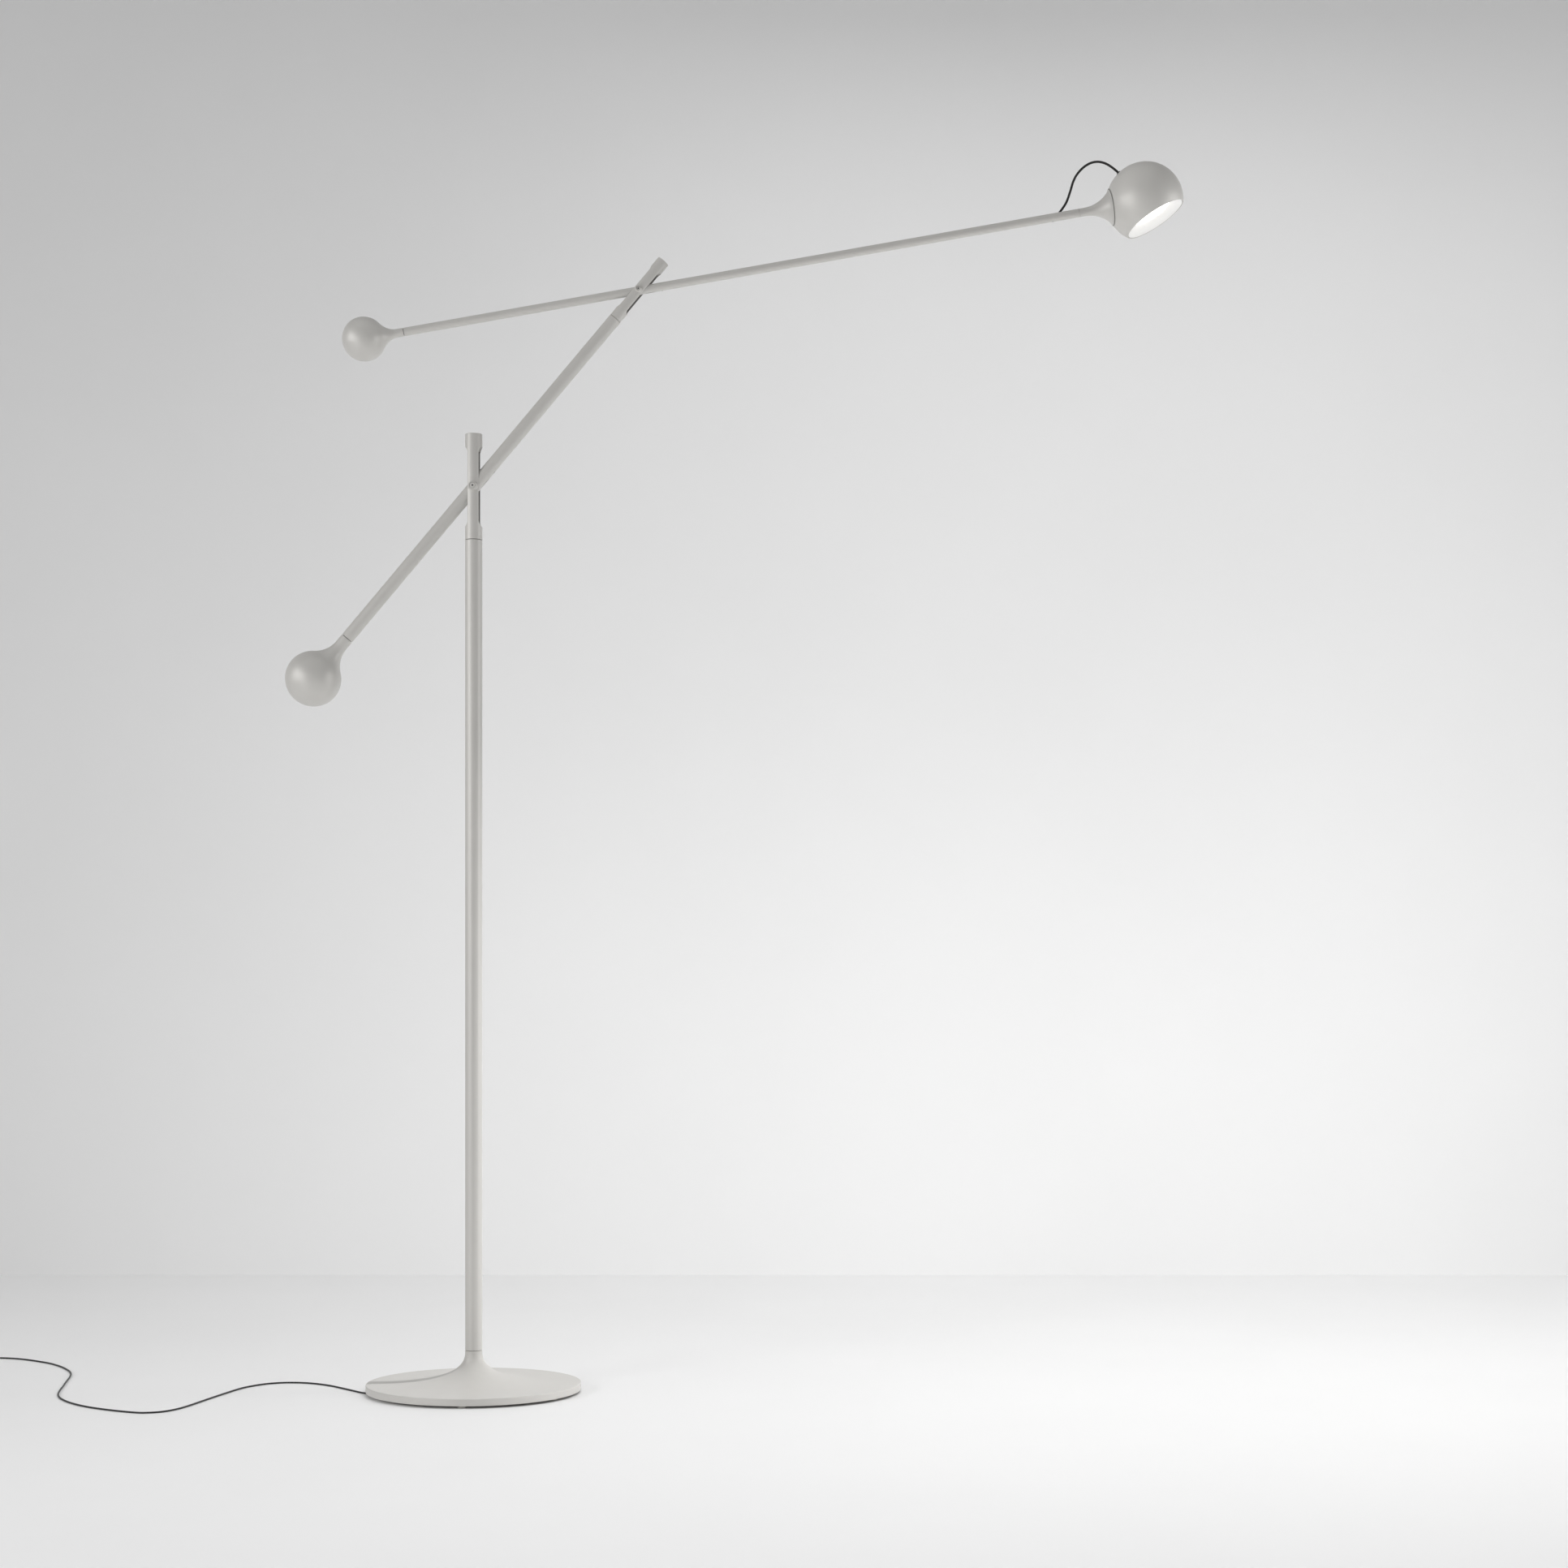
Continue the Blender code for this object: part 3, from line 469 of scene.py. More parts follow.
def tube(name, points, radius, sides):
    """A closed round tube along a route, with coordinates along and around it."""
    total = sum((b - a).length for a, b in zip(points, points[1:]))
    bm = bmesh.new()
    uv = bm.loops.layers.uv.new("UVMap")
    rings, runs = [], []
    run = 0.0
    side = Vector((0, 1, 0))
    for i, point in enumerate(points):
        ahead = points[min(i + 1, len(points) - 1)]
        behind = points[max(i - 1, 0)]
        tangent = (ahead - behind).normalized()
        side = (side - tangent * side.dot(tangent)).normalized()
        other = tangent.cross(side)
        if i:
            run += (point - points[i - 1]).length
        runs.append(run / total)
        rings.append([bm.verts.new((point + radius * (cos(2 * pi * k / sides) * side
                                                      + sin(2 * pi * k / sides) * other)) * MM)
                      for k in range(sides)])
    for i in range(len(rings) - 1):
        for k in range(sides):
            j = (k + 1) % sides
            face = bm.faces.new((rings[i][k], rings[i][j], rings[i + 1][j], rings[i + 1][k]))
            corners = ((i, k), (i, k + 1), (i + 1, k + 1), (i + 1, k))
            for loop, (row, column) in zip(face.loops, corners):
                loop[uv].uv = (runs[row], column / sides)
    bm.faces.new(list(reversed(rings[0])))
    bm.faces.new(rings[-1])
    bmesh.ops.recalc_face_normals(bm, faces=bm.faces)
    mesh = bpy.data.meshes.new(name)
    bm.to_mesh(mesh)
    bm.free()
    return link(name, mesh, WORLD)


# ------------------------------------------------------------ cords first

EXIT = Vector((cos(LEAD_EXIT_ANGLE), sin(LEAD_EXIT_ANGLE), 0))


def under_base(radius, height):
    return (EXIT.x * radius, EXIT.y * radius, height)


FLOOR = CORD_R + 0.1     # height of the cord's middle where it lies on the floor
floor_points = [
    (-207, -16), (-225, 6), (-248, 34), (-279, 70), (-308, 94), (-335, 108),
    (-361, 112), (-385, 108), (-408, 94), (-428, 68), (-445, 32), (-470, -66), (-494, -172),
    (-508, -214), (-525, -239), (-546, -250), (-569, -249), (-621, -222), (-681, -177),
    (-733, -113), (-767, -36), (-791, 94), (-815, 225), (-849, 304), (-892, 367), (-929, 403),
    (-965, 431), (-995, 447), (-1022, 454),
]
route = [under_base(190.9, 2.2), under_base(195.0, 1.9), *[(x, y, FLOOR) for x, y in floor_points],
         (-1045.8, 457.3, FLOOR + 0.2)]

# The coil's seven and a quarter turns. Each turn has a column and a layer in the bundle, counted in cord
# diameters from its middle, and the cord changes over in the last part of the turn.
turns = [(0, -1), (-1, -1), (-1, 0), (0, 0), (1, 0), (1, 1), (0, 1), (0, 1)]
PITCH = 2 * CORD_R
TURN_STEPS = 28
CHANGE_FROM, CHANGE_SPAN = 0.7, 0.3
coil_points = []
for k in range(7 * TURN_STEPS + TURN_STEPS // 4 + 1):
    turn, part = divmod(k / TURN_STEPS, 1.0)
    here = turns[int(turn)]
    there = turns[min(int(turn) + 1, len(turns) - 1)]
    ease = max(0.0, (part - CHANGE_FROM) / CHANGE_SPAN)
    ease = ease * ease * (3 - 2 * ease)
    column = here[0] + (there[0] - here[0]) * ease
    layer = here[1] + (there[1] - here[1]) * ease
    angle = pi / 2 + 2 * pi * k / TURN_STEPS
    r = COIL_R + PITCH * column
    z = COIL_Z + PITCH * layer
    coil_points.append((COIL_CENTRE[0] + r * cos(angle), COIL_CENTRE[1] + r * sin(angle), z))
tail_points = [(PLUG_X, 423.6, 7.4), (PLUG_X, 412, 4.2), (PLUG_X, 401, 3.3),
               *[(PLUG_X, y, PLUG_CORD_Z) for y in (390.3, PLUG_FAR, 345)]]
cord_path = smooth_route(route, 4.0) + smooth_route(coil_points, 4.0)
cord_path += smooth_route([coil_points[-1], *tail_points], 3.0)[1:]
cord_curve = bpy.data.curves.new("floor_cord", "CURVE")
cord_curve.dimensions = "3D"
cord_curve.bevel_depth = CORD_R * MM
cord_curve.bevel_resolution = 4
cord_curve.use_fill_caps = True
spline = cord_curve.splines.new("POLY")
spline.points.add(len(cord_path) - 1)
for point, position in zip(spline.points, cord_path):
    point.co = (*(position * MM), 1.0)
cord_curve.materials.append(cord_jacket)
floor_cord = bpy.data.objects.new("floor_cord", cord_curve)
scene_collection.objects.link(floor_cord)

# The head's flex, in the upper arm's own coordinates. It is made in two parts that meet near the top of
# its loop, and it ends inside the head.
LOWER_FLEX_SHARE, FLEX_END_R = 0.566, 66.0
loop = [FLEX_START, (799.2, 0, 6.5), (815.0, 0, 22.7), (826.8, 0, 43.0), (834.0, 0, 57.5),
        (843.2, 0, 70.3), (856.6, 0, 81.3), (871.6, 0, 87.8), (885.8, 0, 88.4), (899.2, 0, 83.4),
        (911.4, 0, 73.2)]
for from_centre in (HEAD_R, FLEX_END_R):
    loop.append((HEAD_AT + from_centre * cos(FLEX_ENTRY_ANGLE - UPPER_ARM_ANGLE), 0,
                 from_centre * sin(FLEX_ENTRY_ANGLE - UPPER_ARM_ANGLE)))
flex_route = smooth_route(loop, 1.6)
flex_half = int(len(flex_route) * LOWER_FLEX_SHARE)
lower_route = flex_route[:flex_half + 1]
upper_route = flex_route[flex_half:]

TIE = shift(*COIL_CENTRE, COIL_Z) @ Matrix.Rotation(TIE_ANGLE, 4, "Z")
tie = block("tie_band", (COIL_R - COIL_HALF - 1.1, -TIE_HALF_WIDTH, -COIL_HALF - 0.8),
            (COIL_R + COIL_HALF + 0.9, TIE_HALF_WIDTH, COIL_HALF + 0.8), TIE)
carve(tie, block("tie_opening", (COIL_R - COIL_HALF - 0.5, -2 * TIE_HALF_WIDTH, -COIL_HALF - 0.3),
                 (COIL_R + COIL_HALF + 0.3, 2 * TIE_HALF_WIDTH, COIL_HALF + 0.3), TIE))
round_edges(tie, 0.25)
piece(tie, black_plastic, "root", "black_plastic", "cord_tie")
case = block("plug_case", (PLUG_X - PLUG_HALF_WIDTH, PLUG_NEAR, PLUG_BOTTOM),
             (PLUG_X + PLUG_HALF_WIDTH, PLUG_FAR, PLUG_TOP))
round_edges(case, PLUG_EDGE, 6)
relief = solid("case_relief", [(0, 390.0), (1.9, 390.0), (2.1, 389.6), (4.3, 367.0), (0, 367.0)],
               shift(PLUG_X, 0, PLUG_CORD_Z) @ REAR, 40)
carve(case, relief, operation="UNION")
piece(case, black_plastic, "root", "black_plastic", "plug_body")
for number, side in ((1, -1), (2, 1)):
    pin = solid(f"contact_pin_{number}", rod(PIN_R, PIN_FROM, PIN_TO, 0.8),
                shift(PLUG_X + PIN_SIDE * side, 0, PIN_Z) @ REAR, 32)
    piece(pin, bright_steel, "root", "steel", f"plug_pin_{number}")

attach(floor_cord, "root")
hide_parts("power_cord", "power_cord_coil", "cord_tail")

# ------------------------------------------------------------ base


def flare_height(radius):
    across = (BASE_R - radius) / (BASE_R - POLE_R)
    return FLARE_TOP - (FLARE_TOP - BASE_RIM_TOP) * (1 - across ** FLARE_POWER) ** (1 / FLARE_POWER)


FLARE_STEPS = 72
flare = []
for i in range(1, FLARE_STEPS + 1):
    angle = pi / 2 * i / FLARE_STEPS
    radius = min(BASE_R - (BASE_R - POLE_R) * cos(angle) ** (2 / FLARE_POWER), BASE_R - RIM_ROUND)
    flare.append((radius, flare_height(radius)))
base = solid("base_casting", [
    (POLE_PLUG_HOLE_R, BASE_TOP), (POLE_R - 0.5, BASE_TOP), (POLE_R, BASE_TOP - 0.5),
    (POLE_R, FLARE_TOP), *flare,
    *arc(BASE_R - RIM_ROUND, BASE_RIM_TOP - RIM_ROUND, RIM_ROUND, radians(8), pi / 2, 8),
    *arc(BASE_R - RIM_UNDER_ROUND, FOOT_H + RIM_UNDER_ROUND, RIM_UNDER_ROUND, pi / 2, pi, 6),
    (RECESS_R, FOOT_H), (RECESS_R, RECESS_TOP), (NIPPLE_HOLE_R, RECESS_TOP),
    (NIPPLE_HOLE_R, POLE_PLUG_HOLE_BOTTOM), (POLE_PLUG_HOLE_R, POLE_PLUG_HOLE_BOTTOM),
], steps=192)
carve(base, block("channel", (40, -4.2, 3.0), (194, 4.2, 12.0),
                  Matrix.Rotation(LEAD_EXIT_ANGLE, 4, "Z")))
piece(base, base_paint, "root", "satin_paint", "base_body", sharp=30)

for number, azimuth in enumerate((-150, -90, -30, 30, 90, 150), start=1):
    spot = shift(FOOT_CIRCLE_R * cos(radians(azimuth)), FOOT_CIRCLE_R * sin(radians(azimuth)), 0)
    foot = solid(f"foot_pad_{number}", rod(FOOT_R, 0.0, FOOT_H - GAP, 0.6), spot, 48)
    piece(foot, foot_rubber, "root", "foot", f"foot_{number}")

pole = solid("pole", pipe(POLE_R, POLE_BORE, POLE_BOTTOM + SEAM, POLE_TOP - SEAM, END_EDGE), steps=128)
piece(pole, paint, "root", "satin_paint", "pole_tube")

# ------------------------------------------------------------ forks


def fork(name, place, radius, *, top, seam, spigot, bore, slot, boss, screw, body, node):
    """A slotted head with a boss on each cheek. The slot goes through along X, the pivot along Y."""
    bore_r, bore_top = bore
    half_width, half_length = slot
    boss_r, boss_face = boss
    seat_r, seat_at, shank_r = screw
    edge = 0.06 * radius
    head = solid(name, [
        (0, top), *arc(radius - edge, top - edge, edge, 0, pi / 2, 8),
        (radius, seam + SEAM + END_EDGE), (radius - END_EDGE, seam + SEAM),
        (spigot[0][0], seam + SEAM), *spigot[1:],
        (bore_r, spigot[-1][1]), (bore_r, bore_top), (0, bore_top),
    ], place, 128)
    pads = [solid(f"{name}_boss", [
        (0, boss_face), (boss_r - 0.5, boss_face), (boss_r, boss_face - 0.5),
        (boss_r, 1.10 * radius), (1.02 * boss_r, 1.05 * radius), (1.06 * boss_r, 1.01 * radius),
        (1.13 * boss_r, 0.96 * radius), (1.22 * boss_r, 0.91 * radius),
        (1.3 * boss_r, 0.86 * radius), (1.3 * boss_r, half_width + 0.4), (0, half_width + 0.4),
    ], place @ turn, 80) for turn in (FRONT, REAR)]
    carve(head, *pads, operation="UNION")
    seats = [solid(f"{name}_seat", [
        (0, boss_face + 5), (seat_r, boss_face + 5), (seat_r, seat_at), (shank_r, seat_at),
        (shank_r, half_width - 4), (0, half_width - 4),
    ], place @ turn, 64) for turn in (FRONT, REAR)]
    carve(head, slot_cutter(f"{name}_slot", half_width, half_length, 1.5 * radius, place), *seats)
    piece(head, paint, body, "satin_paint", node, sharp=28)
    # the slot's inner walls get the darker paint: painted shade inside the slot
    to_fork = place.inverted()
    refinish(head, painted_shade_paint, lambda centre, normal: (
        abs((to_fork.to_3x3() @ normal).y) > 0.9
        and abs((to_fork @ centre).y) < (half_width + 0.2) * MM))


fork("lower_fork_head", POLE_PIVOT, POLE_R, top=FORK_TOP - LOWER_PIVOT_Z,
     seam=FORK_BOTTOM - LOWER_PIVOT_Z, spigot=[
         (11.0, -98.85), (11.0, -147.7), (9.9, -147.7), (9.9, -150.3), (11.0, -150.3), (11.0, -152.0)],
     bore=(5.0, -66.0), slot=(12.15, 75.5), boss=(7.5, 22.5), screw=(5.65, 16.2, 3.1),
     body="pole_head", node="pole_fork")
fork("upper_fork_head", FORK_2, LOWER_ARM_R, top=UPPER_FORK_END - UPPER_PIVOT_AT,
     seam=LOWER_ARM_END + GAP - UPPER_PIVOT_AT, spigot=[(9.9, -68.9), (9.9, -109.0)],
     bore=(4.0, -43.0), slot=(8.05, 50.0), boss=(5.3, 18.5), screw=(3.8, 11.6, 2.1),
     body="lower_arm", node="upper_fork")


def pivot_hardware(prefix, place, *, head_r, seat_at, rise, thick, shank_r, end_at, hex_r, body):
    """The bolt, nut and washer of one pivot. The bolt's head stands in the front cheek."""
    front = place @ FRONT
    top = seat_at + rise
    under = top - thick
    key_depth = 2.6
    bolt = solid(f"{prefix}_bolt", [
        (0, top), (0.72 * head_r, top), *arc(head_r - 1.1, top - 1.1, 1.1, radians(10), pi / 2, 8),
        (head_r, under), (shank_r, under), (shank_r, -end_at), (0, -end_at),
    ], front, 64)
    carve(bolt, solid(f"{prefix}_key", rod(hex_r, top - key_depth, top + 2), front, 6))
    piece(bolt, screw_paint, body, "steel", f"{prefix}_pivot_bolt")
    # the inside of the bolt's hex key hole is painted black, as painted shade in the recess
    to_front = front.inverted()
    refinish(bolt, black_plastic, lambda centre, normal: (
        (to_front @ centre).xy.length < 1.01 * hex_r * MM
        and top - key_depth - 0.1 < (to_front @ centre).z / MM < top - 0.2))
    nut = solid(f"{prefix}_nut", [
        (head_r - 0.5, top - 1.4), (head_r, top - 1.9), (head_r, seat_at + GAP),
        (shank_r + 0.1, seat_at + GAP), (shank_r + 0.1, top - 1.4),
    ], place @ REAR, 64)
    piece(nut, screw_paint, body, "steel", f"{prefix}_pivot_nut")
    washer = solid(f"{prefix}_seat_washer", pipe(head_r, shank_r + 0.1, seat_at + GAP, under - GAP),
                   front, 48)
    piece(washer, zinc, body, "zinc", f"{prefix}_washer")


pivot_hardware("lower", POLE_PIVOT, head_r=5.4, seat_at=16.2, rise=6.0, thick=4.5, shank_r=3.0,
               end_at=21.7, hex_r=1.75, body="pole_head")
pivot_hardware("upper", FORK_2, head_r=3.55, seat_at=11.6, rise=5.6, thick=4.3, shank_r=2.0,
               end_at=16.4, hex_r=1.4, body="lower_arm")

# ------------------------------------------------------------ arms


def arm(prefix, place, outer, bore, start, end, *, bush_r, grub, slit, body):
    """An arm's tube, cut for its pivot, with its grub screw. The tube is finished by the caller."""
    grub_at, grub_r, grub_tip = grub
    slit_from, slit_to, slit_half = slit
    under_screw = place @ shift(grub_at, 0, 0) @ UNDER
    tube_skin = solid(f"{prefix}_arm", pipe(outer, bore, start + SEAM, end - SEAM, END_EDGE),
                      place @ ALONG_X, 96)
    carve(tube_skin,
          solid("cross", rod(bush_r + 0.05, -outer - 5, outer + 5), place @ FRONT, 48),
          slot_cutter("slit", slit_half, (slit_to - slit_from) / 2, outer,
                      place @ shift((slit_from + slit_to) / 2, 0, -outer) @ turn_y(pi / 2), 24),
          solid("hole", rod(grub_r + 0.1, grub_tip - 0.2, outer + 4), under_screw, 32))
    screw = solid(f"{prefix}_grub", rod(grub_r, grub_tip, outer - 0.4, 0.2), under_screw, 32)
    carve(screw, solid("key", rod(0.5 * grub_r, outer - 2.4, outer + 2), under_screw, 6))
    piece(screw, dark_steel, body, "steel", f"{prefix}_arm_grub")
    return tube_skin


lower_tube = arm("lower", LOWER_ARM, LOWER_ARM_R, LOWER_ARM_BORE, LOWER_ARM_START, LOWER_ARM_END,
                 bush_r=5.0, grub=(46.0, 2.0, 4.6), slit=(14.6, 32.3, 1.45), body="lower_arm")
piece(lower_tube, paint, "lower_arm", "satin_paint", "lower_arm_tube")
upper_tube = arm("upper", UPPER_ARM, UPPER_ARM_R, UPPER_ARM_BORE, UPPER_ARM_START, UPPER_ARM_END,
                 bush_r=3.2, grub=(43.3, 1.5, 3.3), slit=(11.0, 29.0, 1.45), body="upper_arm")
GUIDE_SLOPE, GUIDE_SCREW_AT, GUIDE_SCREW_R = radians(40.0), 784.7, 1.5
flex_way = UPPER_ARM @ shift(*FLEX_START) @ turn_y(pi / 2 - GUIDE_SLOPE)
under_guide = UPPER_ARM @ shift(GUIDE_SCREW_AT, 0, 0) @ UNDER
carve(upper_tube, solid("flex_mouth", rod(FLEX_R + 0.4, -0.6, 30.0), flex_way, 40),
      solid("guide_screw_hole", rod(GUIDE_SCREW_R + 0.1, 4.3, 12.0), under_guide, 32))
piece(upper_tube, paint, "upper_arm", "satin_paint", "upper_arm_tube")
guide_screw = solid("flex_guide_screw", rod(GUIDE_SCREW_R, 4.5, UPPER_ARM_R - 0.4, 0.2), under_guide, 32)
carve(guide_screw, solid("key", rod(0.5 * GUIDE_SCREW_R, 6.0, 10.0), under_guide, 6))
piece(guide_screw, dark_steel, "upper_arm", "steel", "guide_grub")


def weight(name, place, start, neck_r, *, ball_at, ball_r, fillet_r, bore_r, bore_to, body, node):
    """A ball counterweight whose neck runs into the ball on a hollow curve."""
    reach = sqrt((ball_r + fillet_r) ** 2 - (neck_r + fillet_r) ** 2)
    meet = atan2(neck_r + fillet_r, reach)
    neck = arc(neck_r + fillet_r, ball_at + reach, fillet_r, -pi / 2, -pi + meet, 24)
    start -= SEAM
    ball = solid(name, [
        (neck_r - END_EDGE, start), (neck_r, start - END_EDGE), *neck[1:],
        *arc(0, ball_at, ball_r, meet, pi, 56)[1:-1], (0, ball_at - ball_r), (0, bore_to),
        (bore_r, bore_to), (bore_r, start),
    ], place, 128)
    piece(ball, paint, body, "satin_paint", node, sharp=30)


weight("lower_ball", LOWER_ARM @ ALONG_X, LOWER_ARM_START - GAP, LOWER_ARM_R,
       ball_at=LOWER_BALL_AT, ball_r=LOWER_BALL_R, fillet_r=LOWER_BALL_FILLET,
       bore_r=10.0, bore_to=-430.0, body="lower_arm", node="lower_weight")
weight("upper_ball", UPPER_ARM @ ALONG_X, UPPER_ARM_START - GAP, UPPER_ARM_R,
       ball_at=UPPER_BALL_AT, ball_r=UPPER_BALL_R, fillet_r=UPPER_BALL_FILLET,
       bore_r=6.4, bore_to=-492.0, body="upper_arm", node="upper_weight")

# ------------------------------------------------------------ ball joint and head


SEAT_R, RING_SEAT_R = HEAD_R + 0.3, 73.4
RING_OUTER, RING_INNER = radians(17.5), radians(7.0)
TRUMPET_FROM, TRUMPET_LENGTH, TRUMPET_CURVE, TRUMPET_STEPS = 113.5, 45.0, 62.0, 30
SOCKET_END = HEAD_AT - UPPER_ARM_END - GAP
LIP_R, LIP_Z = 32.7, 65.06       # where the socket's band of painted shade beside the seam starts
TENON_R, MAGNET_R, MAGNET_TOP = 6.3, 7.4, 81.0
trumpet = []
for i in range(TRUMPET_STEPS + 1):
    along = TRUMPET_LENGTH * i / TRUMPET_STEPS
    trumpet.append((UPPER_ARM_R + TRUMPET_CURVE - sqrt(TRUMPET_CURVE ** 2 - along ** 2),
                    TRUMPET_FROM - along))
socket = solid("socket_trumpet", [
    (0, 150.0), (TENON_R, 150.0), (TENON_R, SOCKET_END), (UPPER_ARM_R - 0.45, SOCKET_END),
    (UPPER_ARM_R, SOCKET_END - 0.45), *trumpet, (31.2, 65.9), (LIP_R, LIP_Z), (33.7, 64.5),
    (33.95, 64.25), (33.85, 64.0), *arc(0, 0, SEAT_R, radians(27.3), RING_OUTER, 12),
    *arc(0, 0, RING_SEAT_R, RING_OUTER, RING_INNER, 10),
    (SEAT_R * sin(RING_INNER), SEAT_R * cos(RING_INNER)),
    (MAGNET_R, 71.6), (MAGNET_R, MAGNET_TOP), (0, MAGNET_TOP),
], SOCKET, 128)
piece(socket, paint, "upper_arm", "satin_paint", "head_socket", sharp=30)
# a band on the socket's lip beside the seam gets the darker paint: a painted shade line at the joint
to_socket = SOCKET.inverted()
refinish(socket, painted_shade_paint, lambda centre, normal: (
    (to_socket @ centre).xy.length > LIP_R * MM and (to_socket @ centre).z > 63.9 * MM))

INNER_R = HEAD_R - HEAD_WALL
lip = pi - asin(sqrt(HEAD_R ** 2 - HEAD_OPENING ** 2) / HEAD_R)
inner_lip = pi - asin(sqrt(INNER_R ** 2 - HEAD_OPENING ** 2) / INNER_R)
lip_r, inner_r = HEAD_R * sin(lip), INNER_R * sin(inner_lip)
shell = solid("head_dome", [
    (0, HEAD_R), *arc(0, 0, HEAD_R, 0, lip - radians(0.45), 96)[1:],
    (lip_r - 0.12, 0.25 - HEAD_OPENING), (lip_r - 0.42, -HEAD_OPENING),
    (inner_r + 0.42, -HEAD_OPENING), (inner_r + 0.10, 0.3 - HEAD_OPENING),
    *arc(0, 0, INNER_R, inner_lip - radians(0.5), 0, 60)[:-1], (0, INNER_R),
], HEAD, 160)
carve(shell, solid("entry", rod(3.2, 60.0, 80.0), ENTRY, 48))
piece(shell, head_paint, "head", "satin_paint", "head_shell", sharp=30)
gland = solid("flex_gland", [
    (FLEX_R + 0.2, 73.5), (3.3, 73.5), (3.8, 73.35), (4.1, 72.9), (4.1, HEAD_R + 0.35),
    (2.95, HEAD_R + 0.35), (2.95, 68.6), (FLEX_R + 0.15, 68.6),
], ENTRY, 48)
piece(gland, black_plastic, "head", "black_plastic", "head_gland")
bowl = solid("inner_reflector", [
    (37.2, -17.0), (37.2, -25.6), (57.2, -37.2), (57.7, -38.2), (57.6, -38.6), (57.2, -38.8),
    (56.6, -38.7), (36.4, -27.2), (36.0, -26.8), (36.0, -17.0),
], HEAD, 128)
piece(bowl, white, "head", "white_plastic", "reflector")
disc = solid("glowing_disc", rod(35.6, -26.3, -24.3, 0.3), HEAD, 96)
piece(disc, glow, "head", "opal", "diffuser")

# ------------------------------------------------------------ flex beside the head


for name, points, node, bodies in (
        ("flex_sleeve_arm_side", lower_route, "head_flex_lower", ("upper_arm", "ball_ring")),
        ("flex_sleeve_head_side", upper_route, "head_flex_upper", ("ball_ring", "head"))):
    sleeve = tube(name, points, FLEX_R, 28)
    sleeve.data.transform(UPPER_ARM)
    sleeve.data.shade_smooth()
    sleeve.data.materials.append(braid)
    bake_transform(sleeve)
    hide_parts(node)

# ------------------------------------------------------------ looks of the CAD nodes that stay

brass = metal_material("brass", (0.78, 0.60, 0.30), 0.32)
aluminium = metal_material("turned_aluminium", (0.80, 0.80, 0.80), 0.34, 1400.0)
nickel = metal_material("nickel_plate", (0.62, 0.61, 0.58), 0.18, 500.0)
acetal = plastic_material("acetal", (0.80, 0.80, 0.77), 0.48)
board_mask = plastic_material("board_mask", (0.84, 0.85, 0.83), 0.40, 2600.0, 0.05)
kept_looks = {
    "steel": dark_steel, "zinc": zinc, "brass": brass, "aluminium": aluminium, "magnet": nickel,
    "acetal": acetal, "board": board_mask, "black_plastic": black_plastic, "cord_jacket": cord_jacket,
    "braid": cord_jacket,
}
slot_of = {row["node"]: row["material_slot"] for row in frame["record"]["subparts"]}
for node, obj in frame["nodes"].items():
    look = kept_looks.get(slot_of[node])
    # the swivel bush shows in a joint line and is made black, as painted shade in that seam
    if node == "swivel_bush":
        look = black_plastic
    for material_slot in obj.material_slots:
        material_slot.material = look or material_slot.material

# ------------------------------------------------------------ stage and light


def stage_material(name, colour, roughness):
    """A matt sheet with faint clouding."""
    n = Nodes(name).set(Roughness=roughness)
    cloud = n.noise(1.6, 4.0, 0.5)
    n.link(n.ramp(cloud, (0.3, shade(colour, 0.99)), (0.7, shade(colour, 1.01))),
           n.shader.inputs["Base Color"])
    n.bump(n.noise(240.0, 3.0, 0.5), 0.04, 0.0005)
    return n.material


def one_sided(material):
    """The sheet shows on the side that faces the lamp and lets light through from its back."""
    tree = material.node_tree
    clear = tree.nodes.new("ShaderNodeBsdfTransparent")
    side = tree.nodes.new("ShaderNodeNewGeometry")
    mix = tree.nodes.new("ShaderNodeMixShader")
    tree.links.new(side.outputs["Backfacing"], mix.inputs[0])
    tree.links.new(tree.nodes["Principled BSDF"].outputs[0], mix.inputs[1])
    tree.links.new(clear.outputs[0], mix.inputs[2])
    tree.links.new(mix.outputs[0], tree.nodes["Material Output"].inputs["Surface"])
    return material


def plane(name, corners, material):
    mesh = bpy.data.meshes.new(name)
    mesh.from_pydata(corners, [], [(0, 1, 2, 3)])
    obj = bpy.data.objects.new(name, mesh)
    scene_collection.objects.link(obj)
    obj.data.materials.append(material)
    return obj


wall_foot = [(STAGE_REACH, WALL_Y, 0), (-STAGE_REACH, WALL_Y, 0)]
floor = plane("floor", [(-STAGE_REACH, -STAGE_REACH, 0), (STAGE_REACH, -STAGE_REACH, 0), *wall_foot],
              stage_material("floor_finish", (0.86, 0.86, 0.86), 0.50))
wall = plane("wall", [*reversed(wall_foot), (STAGE_REACH, WALL_Y, WALL_TOP),
                      (-STAGE_REACH, WALL_Y, WALL_TOP)],
             one_sided(stage_material("wall_finish", (0.77, 0.77, 0.77), 0.7)))


def area_light(name, location, target, size, power):
    data = bpy.data.lights.new(name, "AREA")
    data.shape = "RECTANGLE"
    data.size, data.size_y = size
    data.energy = power
    obj = bpy.data.objects.new(name, data)
    obj.location = location
    direction = Vector(target) - Vector(location)
    obj.rotation_euler = direction.to_track_quat("-Z", "Z").to_euler()
    scene_collection.objects.link(obj)
    return obj


def receivers(name, objects):
    group = bpy.data.collections.new(name)
    for obj in objects:
        group.objects.link(obj)
    return group


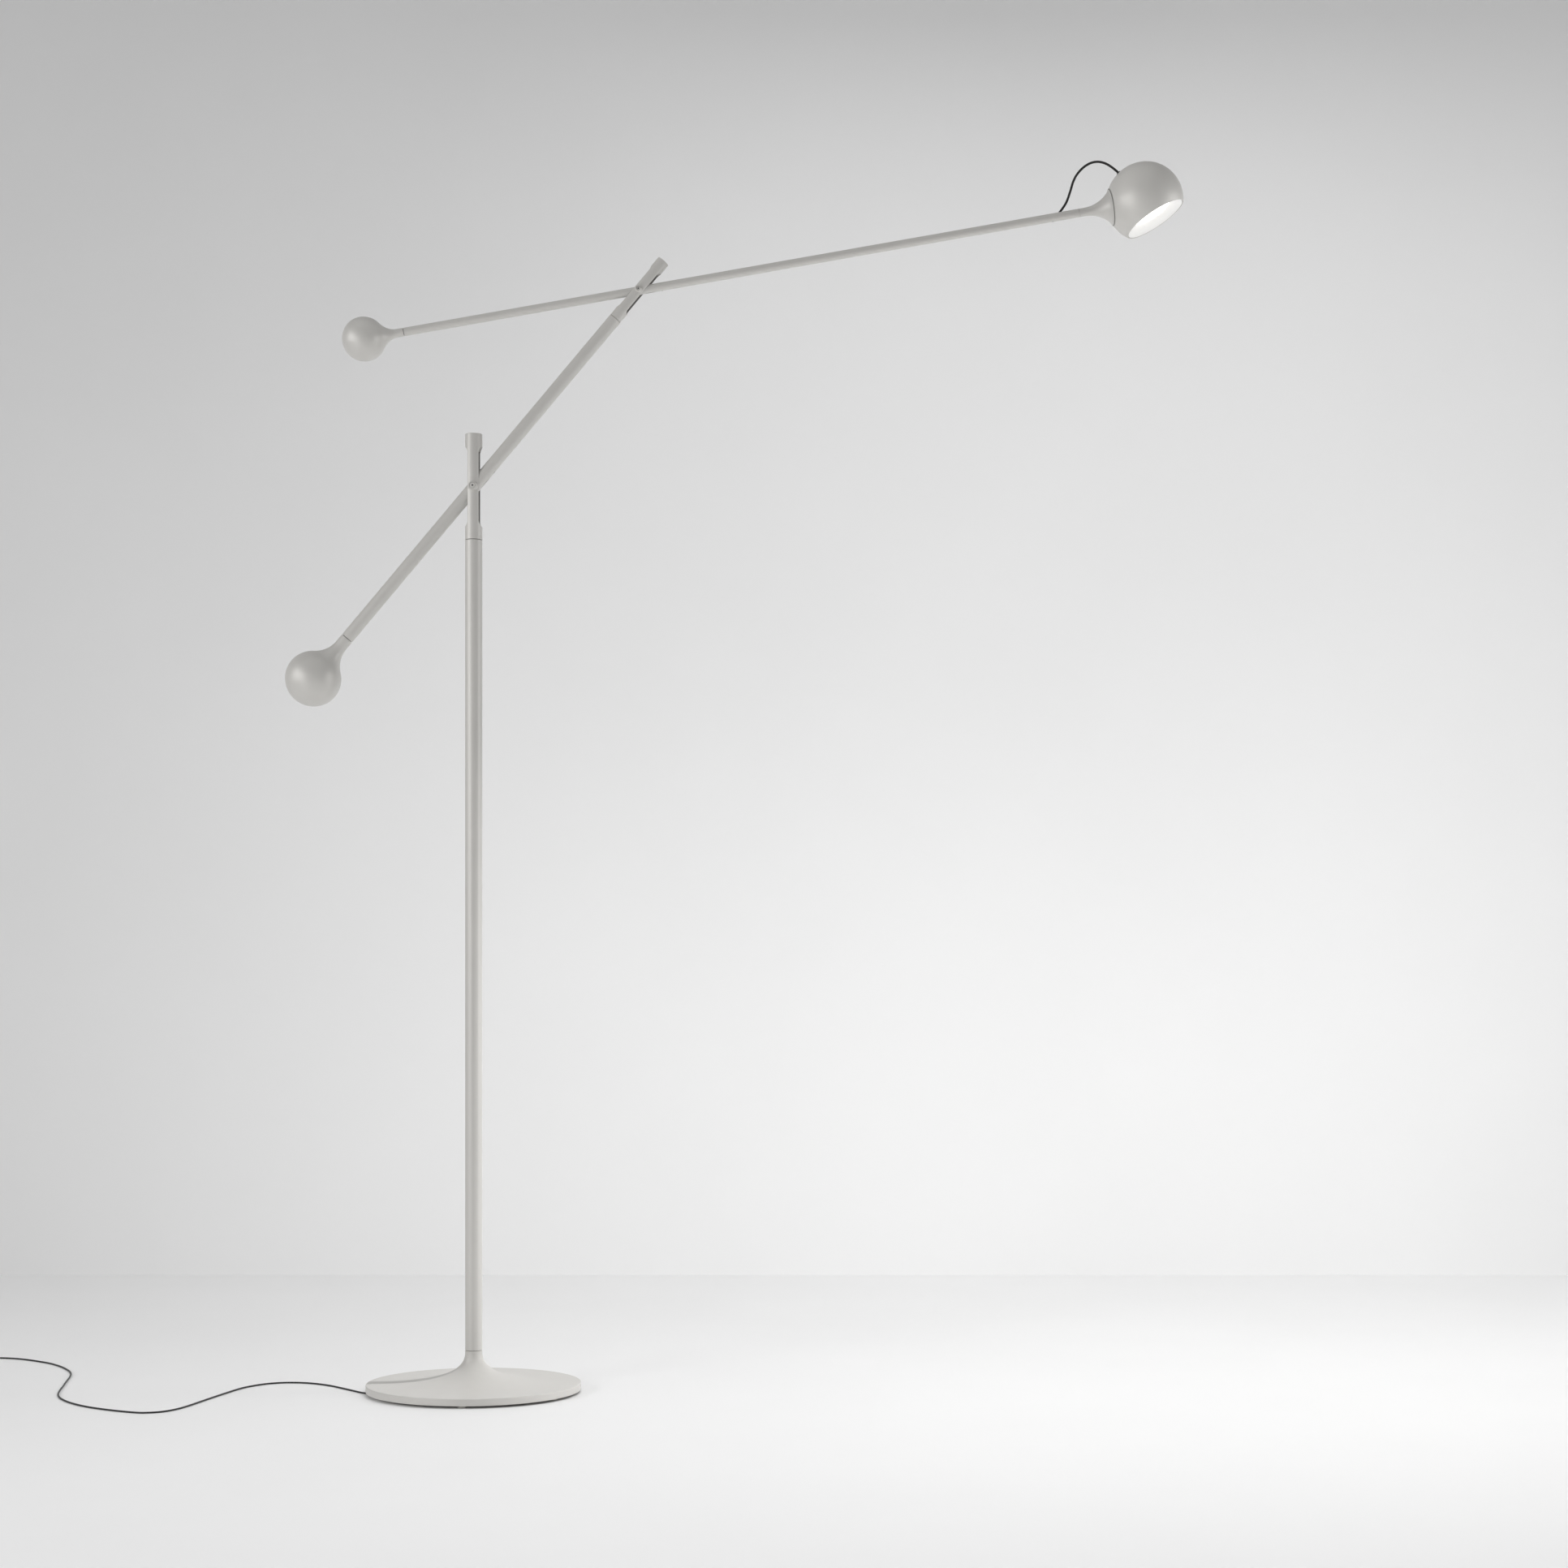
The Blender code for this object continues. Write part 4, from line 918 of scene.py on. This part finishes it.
stage_only = receivers("stage_receivers", (floor, wall))
wall_only = receivers("wall_receivers", (wall,))
floor_only = receivers("floor_receivers", (floor,))
lamp_only = receivers("lamp_receivers", [obj for obj in scene_collection.all_objects
                                         if obj.type in ("MESH", "CURVE") and obj not in (floor, wall)])
head_only = receivers("head_receivers", [obj for obj in lamp_only.objects
                                         if obj.name.startswith("head_") or obj.name == "reflector"])
# place, target and size of the lights that stand in one spot
from_left = ((-3.3, -3.9, 1.9), (0.2, 0, 1.3), (0.9, 2.4))
from_top = ((1.3, 0.1, 3.3), (1.3, 0.2, 0), (2.6, 2.4))
# name, place, target and size in metres, power in watts, what it lights
softboxes = (
    ("lamp_left", (-2.7, -2.2, 1.9), (0.2, 0, 1.5), (1.3, 3.6), 38, lamp_only),
    ("lamp_left_far", (-4.6, -1.6, 1.6), (0.2, 0, 1.4), (1.6, 3.0), 20, lamp_only),
    ("lamp_right", (5.2, -0.6, 1.5), (0.3, 0, 1.4), (3.0, 2.8), 48, lamp_only),
    ("lamp_top", (0.3, -0.4, 3.8), (0.3, 0, 0), (3.0, 2.4), 7, lamp_only),
    ("lamp_front", (0.4, -5.4, 1.2), (0.4, 0, 1.2), (3.0, 2.0), 4, lamp_only),
    ("head_left", (-0.9, -2.2, 2.3), (1.25, 0, 2.2), (1.0, 1.6), 9, head_only),
    ("head_right", (3.6, 0, 2.3), (1.25, 0, 2.2), (1.0, 1.6), 4, head_only),
    ("stage_left", *from_left, 91, stage_only),
    ("stage_right", (4.2, 0, 2.5), (0.3, 0, 0.8), (0.4, 0.9), 21.9, stage_only),
    ("stage_top", *from_top, 21.8, stage_only),
    ("wall_foot", (1.2, 0.4, 0.5), (1.2, WALL_Y, 0.1), (4.0, 0.5), 12.5, wall_only),
    ("wall_low", (2.2, -0.8, 0.9), (1.4, WALL_Y, 0.1), (2.0, 1.0), 15.3, wall_only),
    ("floor_front", (0.9, -1.0, 2.4), (0.9, -0.2, 0), (2.6, 1.2), 16.8, floor_only),
    ("floor_pool", (1.8, 0.1, 2.0), (1.8, 0.16, 0), (1.8, 0.4), 7.0, floor_only),
    ("floor_top", *from_top, 25.4, floor_only),
    ("floor_left", *from_left, 25.6, floor_only),
)
for *placing, power, group in softboxes:
    area_light(*placing, power).light_linking.receiver_collection = group


def spot_light(name, place, power, cone, softness, colour=(1, 1, 1)):
    """A soft-edged spot, with its power in watts, its cone in degrees and its size in metres."""
    data = bpy.data.lights.new(name, "SPOT")
    data.energy = power
    data.spot_size = radians(cone)
    data.spot_blend = 1.0
    data.shadow_soft_size = softness
    data.color = colour
    obj = bpy.data.objects.new(name, data)
    obj.matrix_world = place
    scene_collection.objects.link(obj)
    return obj


# the key light aims at the middle of the base, and casts the pole's shadow on it
key_at = Vector((3.0, 0.0, 3.5))
key_turn = (-key_at).to_track_quat("-Z", "Z").to_matrix().to_4x4()
key = spot_light("base_key", Matrix.Translation(key_at) @ key_turn, power=560, cone=26, softness=0.08)
key.visible_glossy = False
key.light_linking.receiver_collection = lamp_only
# the lamp's own light, just outside the opening of the head
beam = spot_light("lamp_beam", HEAD @ shift(0, 0, -HEAD_OPENING - 3), power=4, cone=112, softness=0.03,
                  colour=(1.0, 0.97, 0.92))
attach(beam, "head")
world = bpy.data.worlds.new("world")
bpy.context.scene.world = world
world.use_nodes = True
world.node_tree.nodes["Background"].inputs["Color"].default_value = (1.0, 1.0, 1.0, 1.0)
world.node_tree.nodes["Background"].inputs["Strength"].default_value = 0.30
bpy.context.scene.view_settings.view_transform = "Standard"
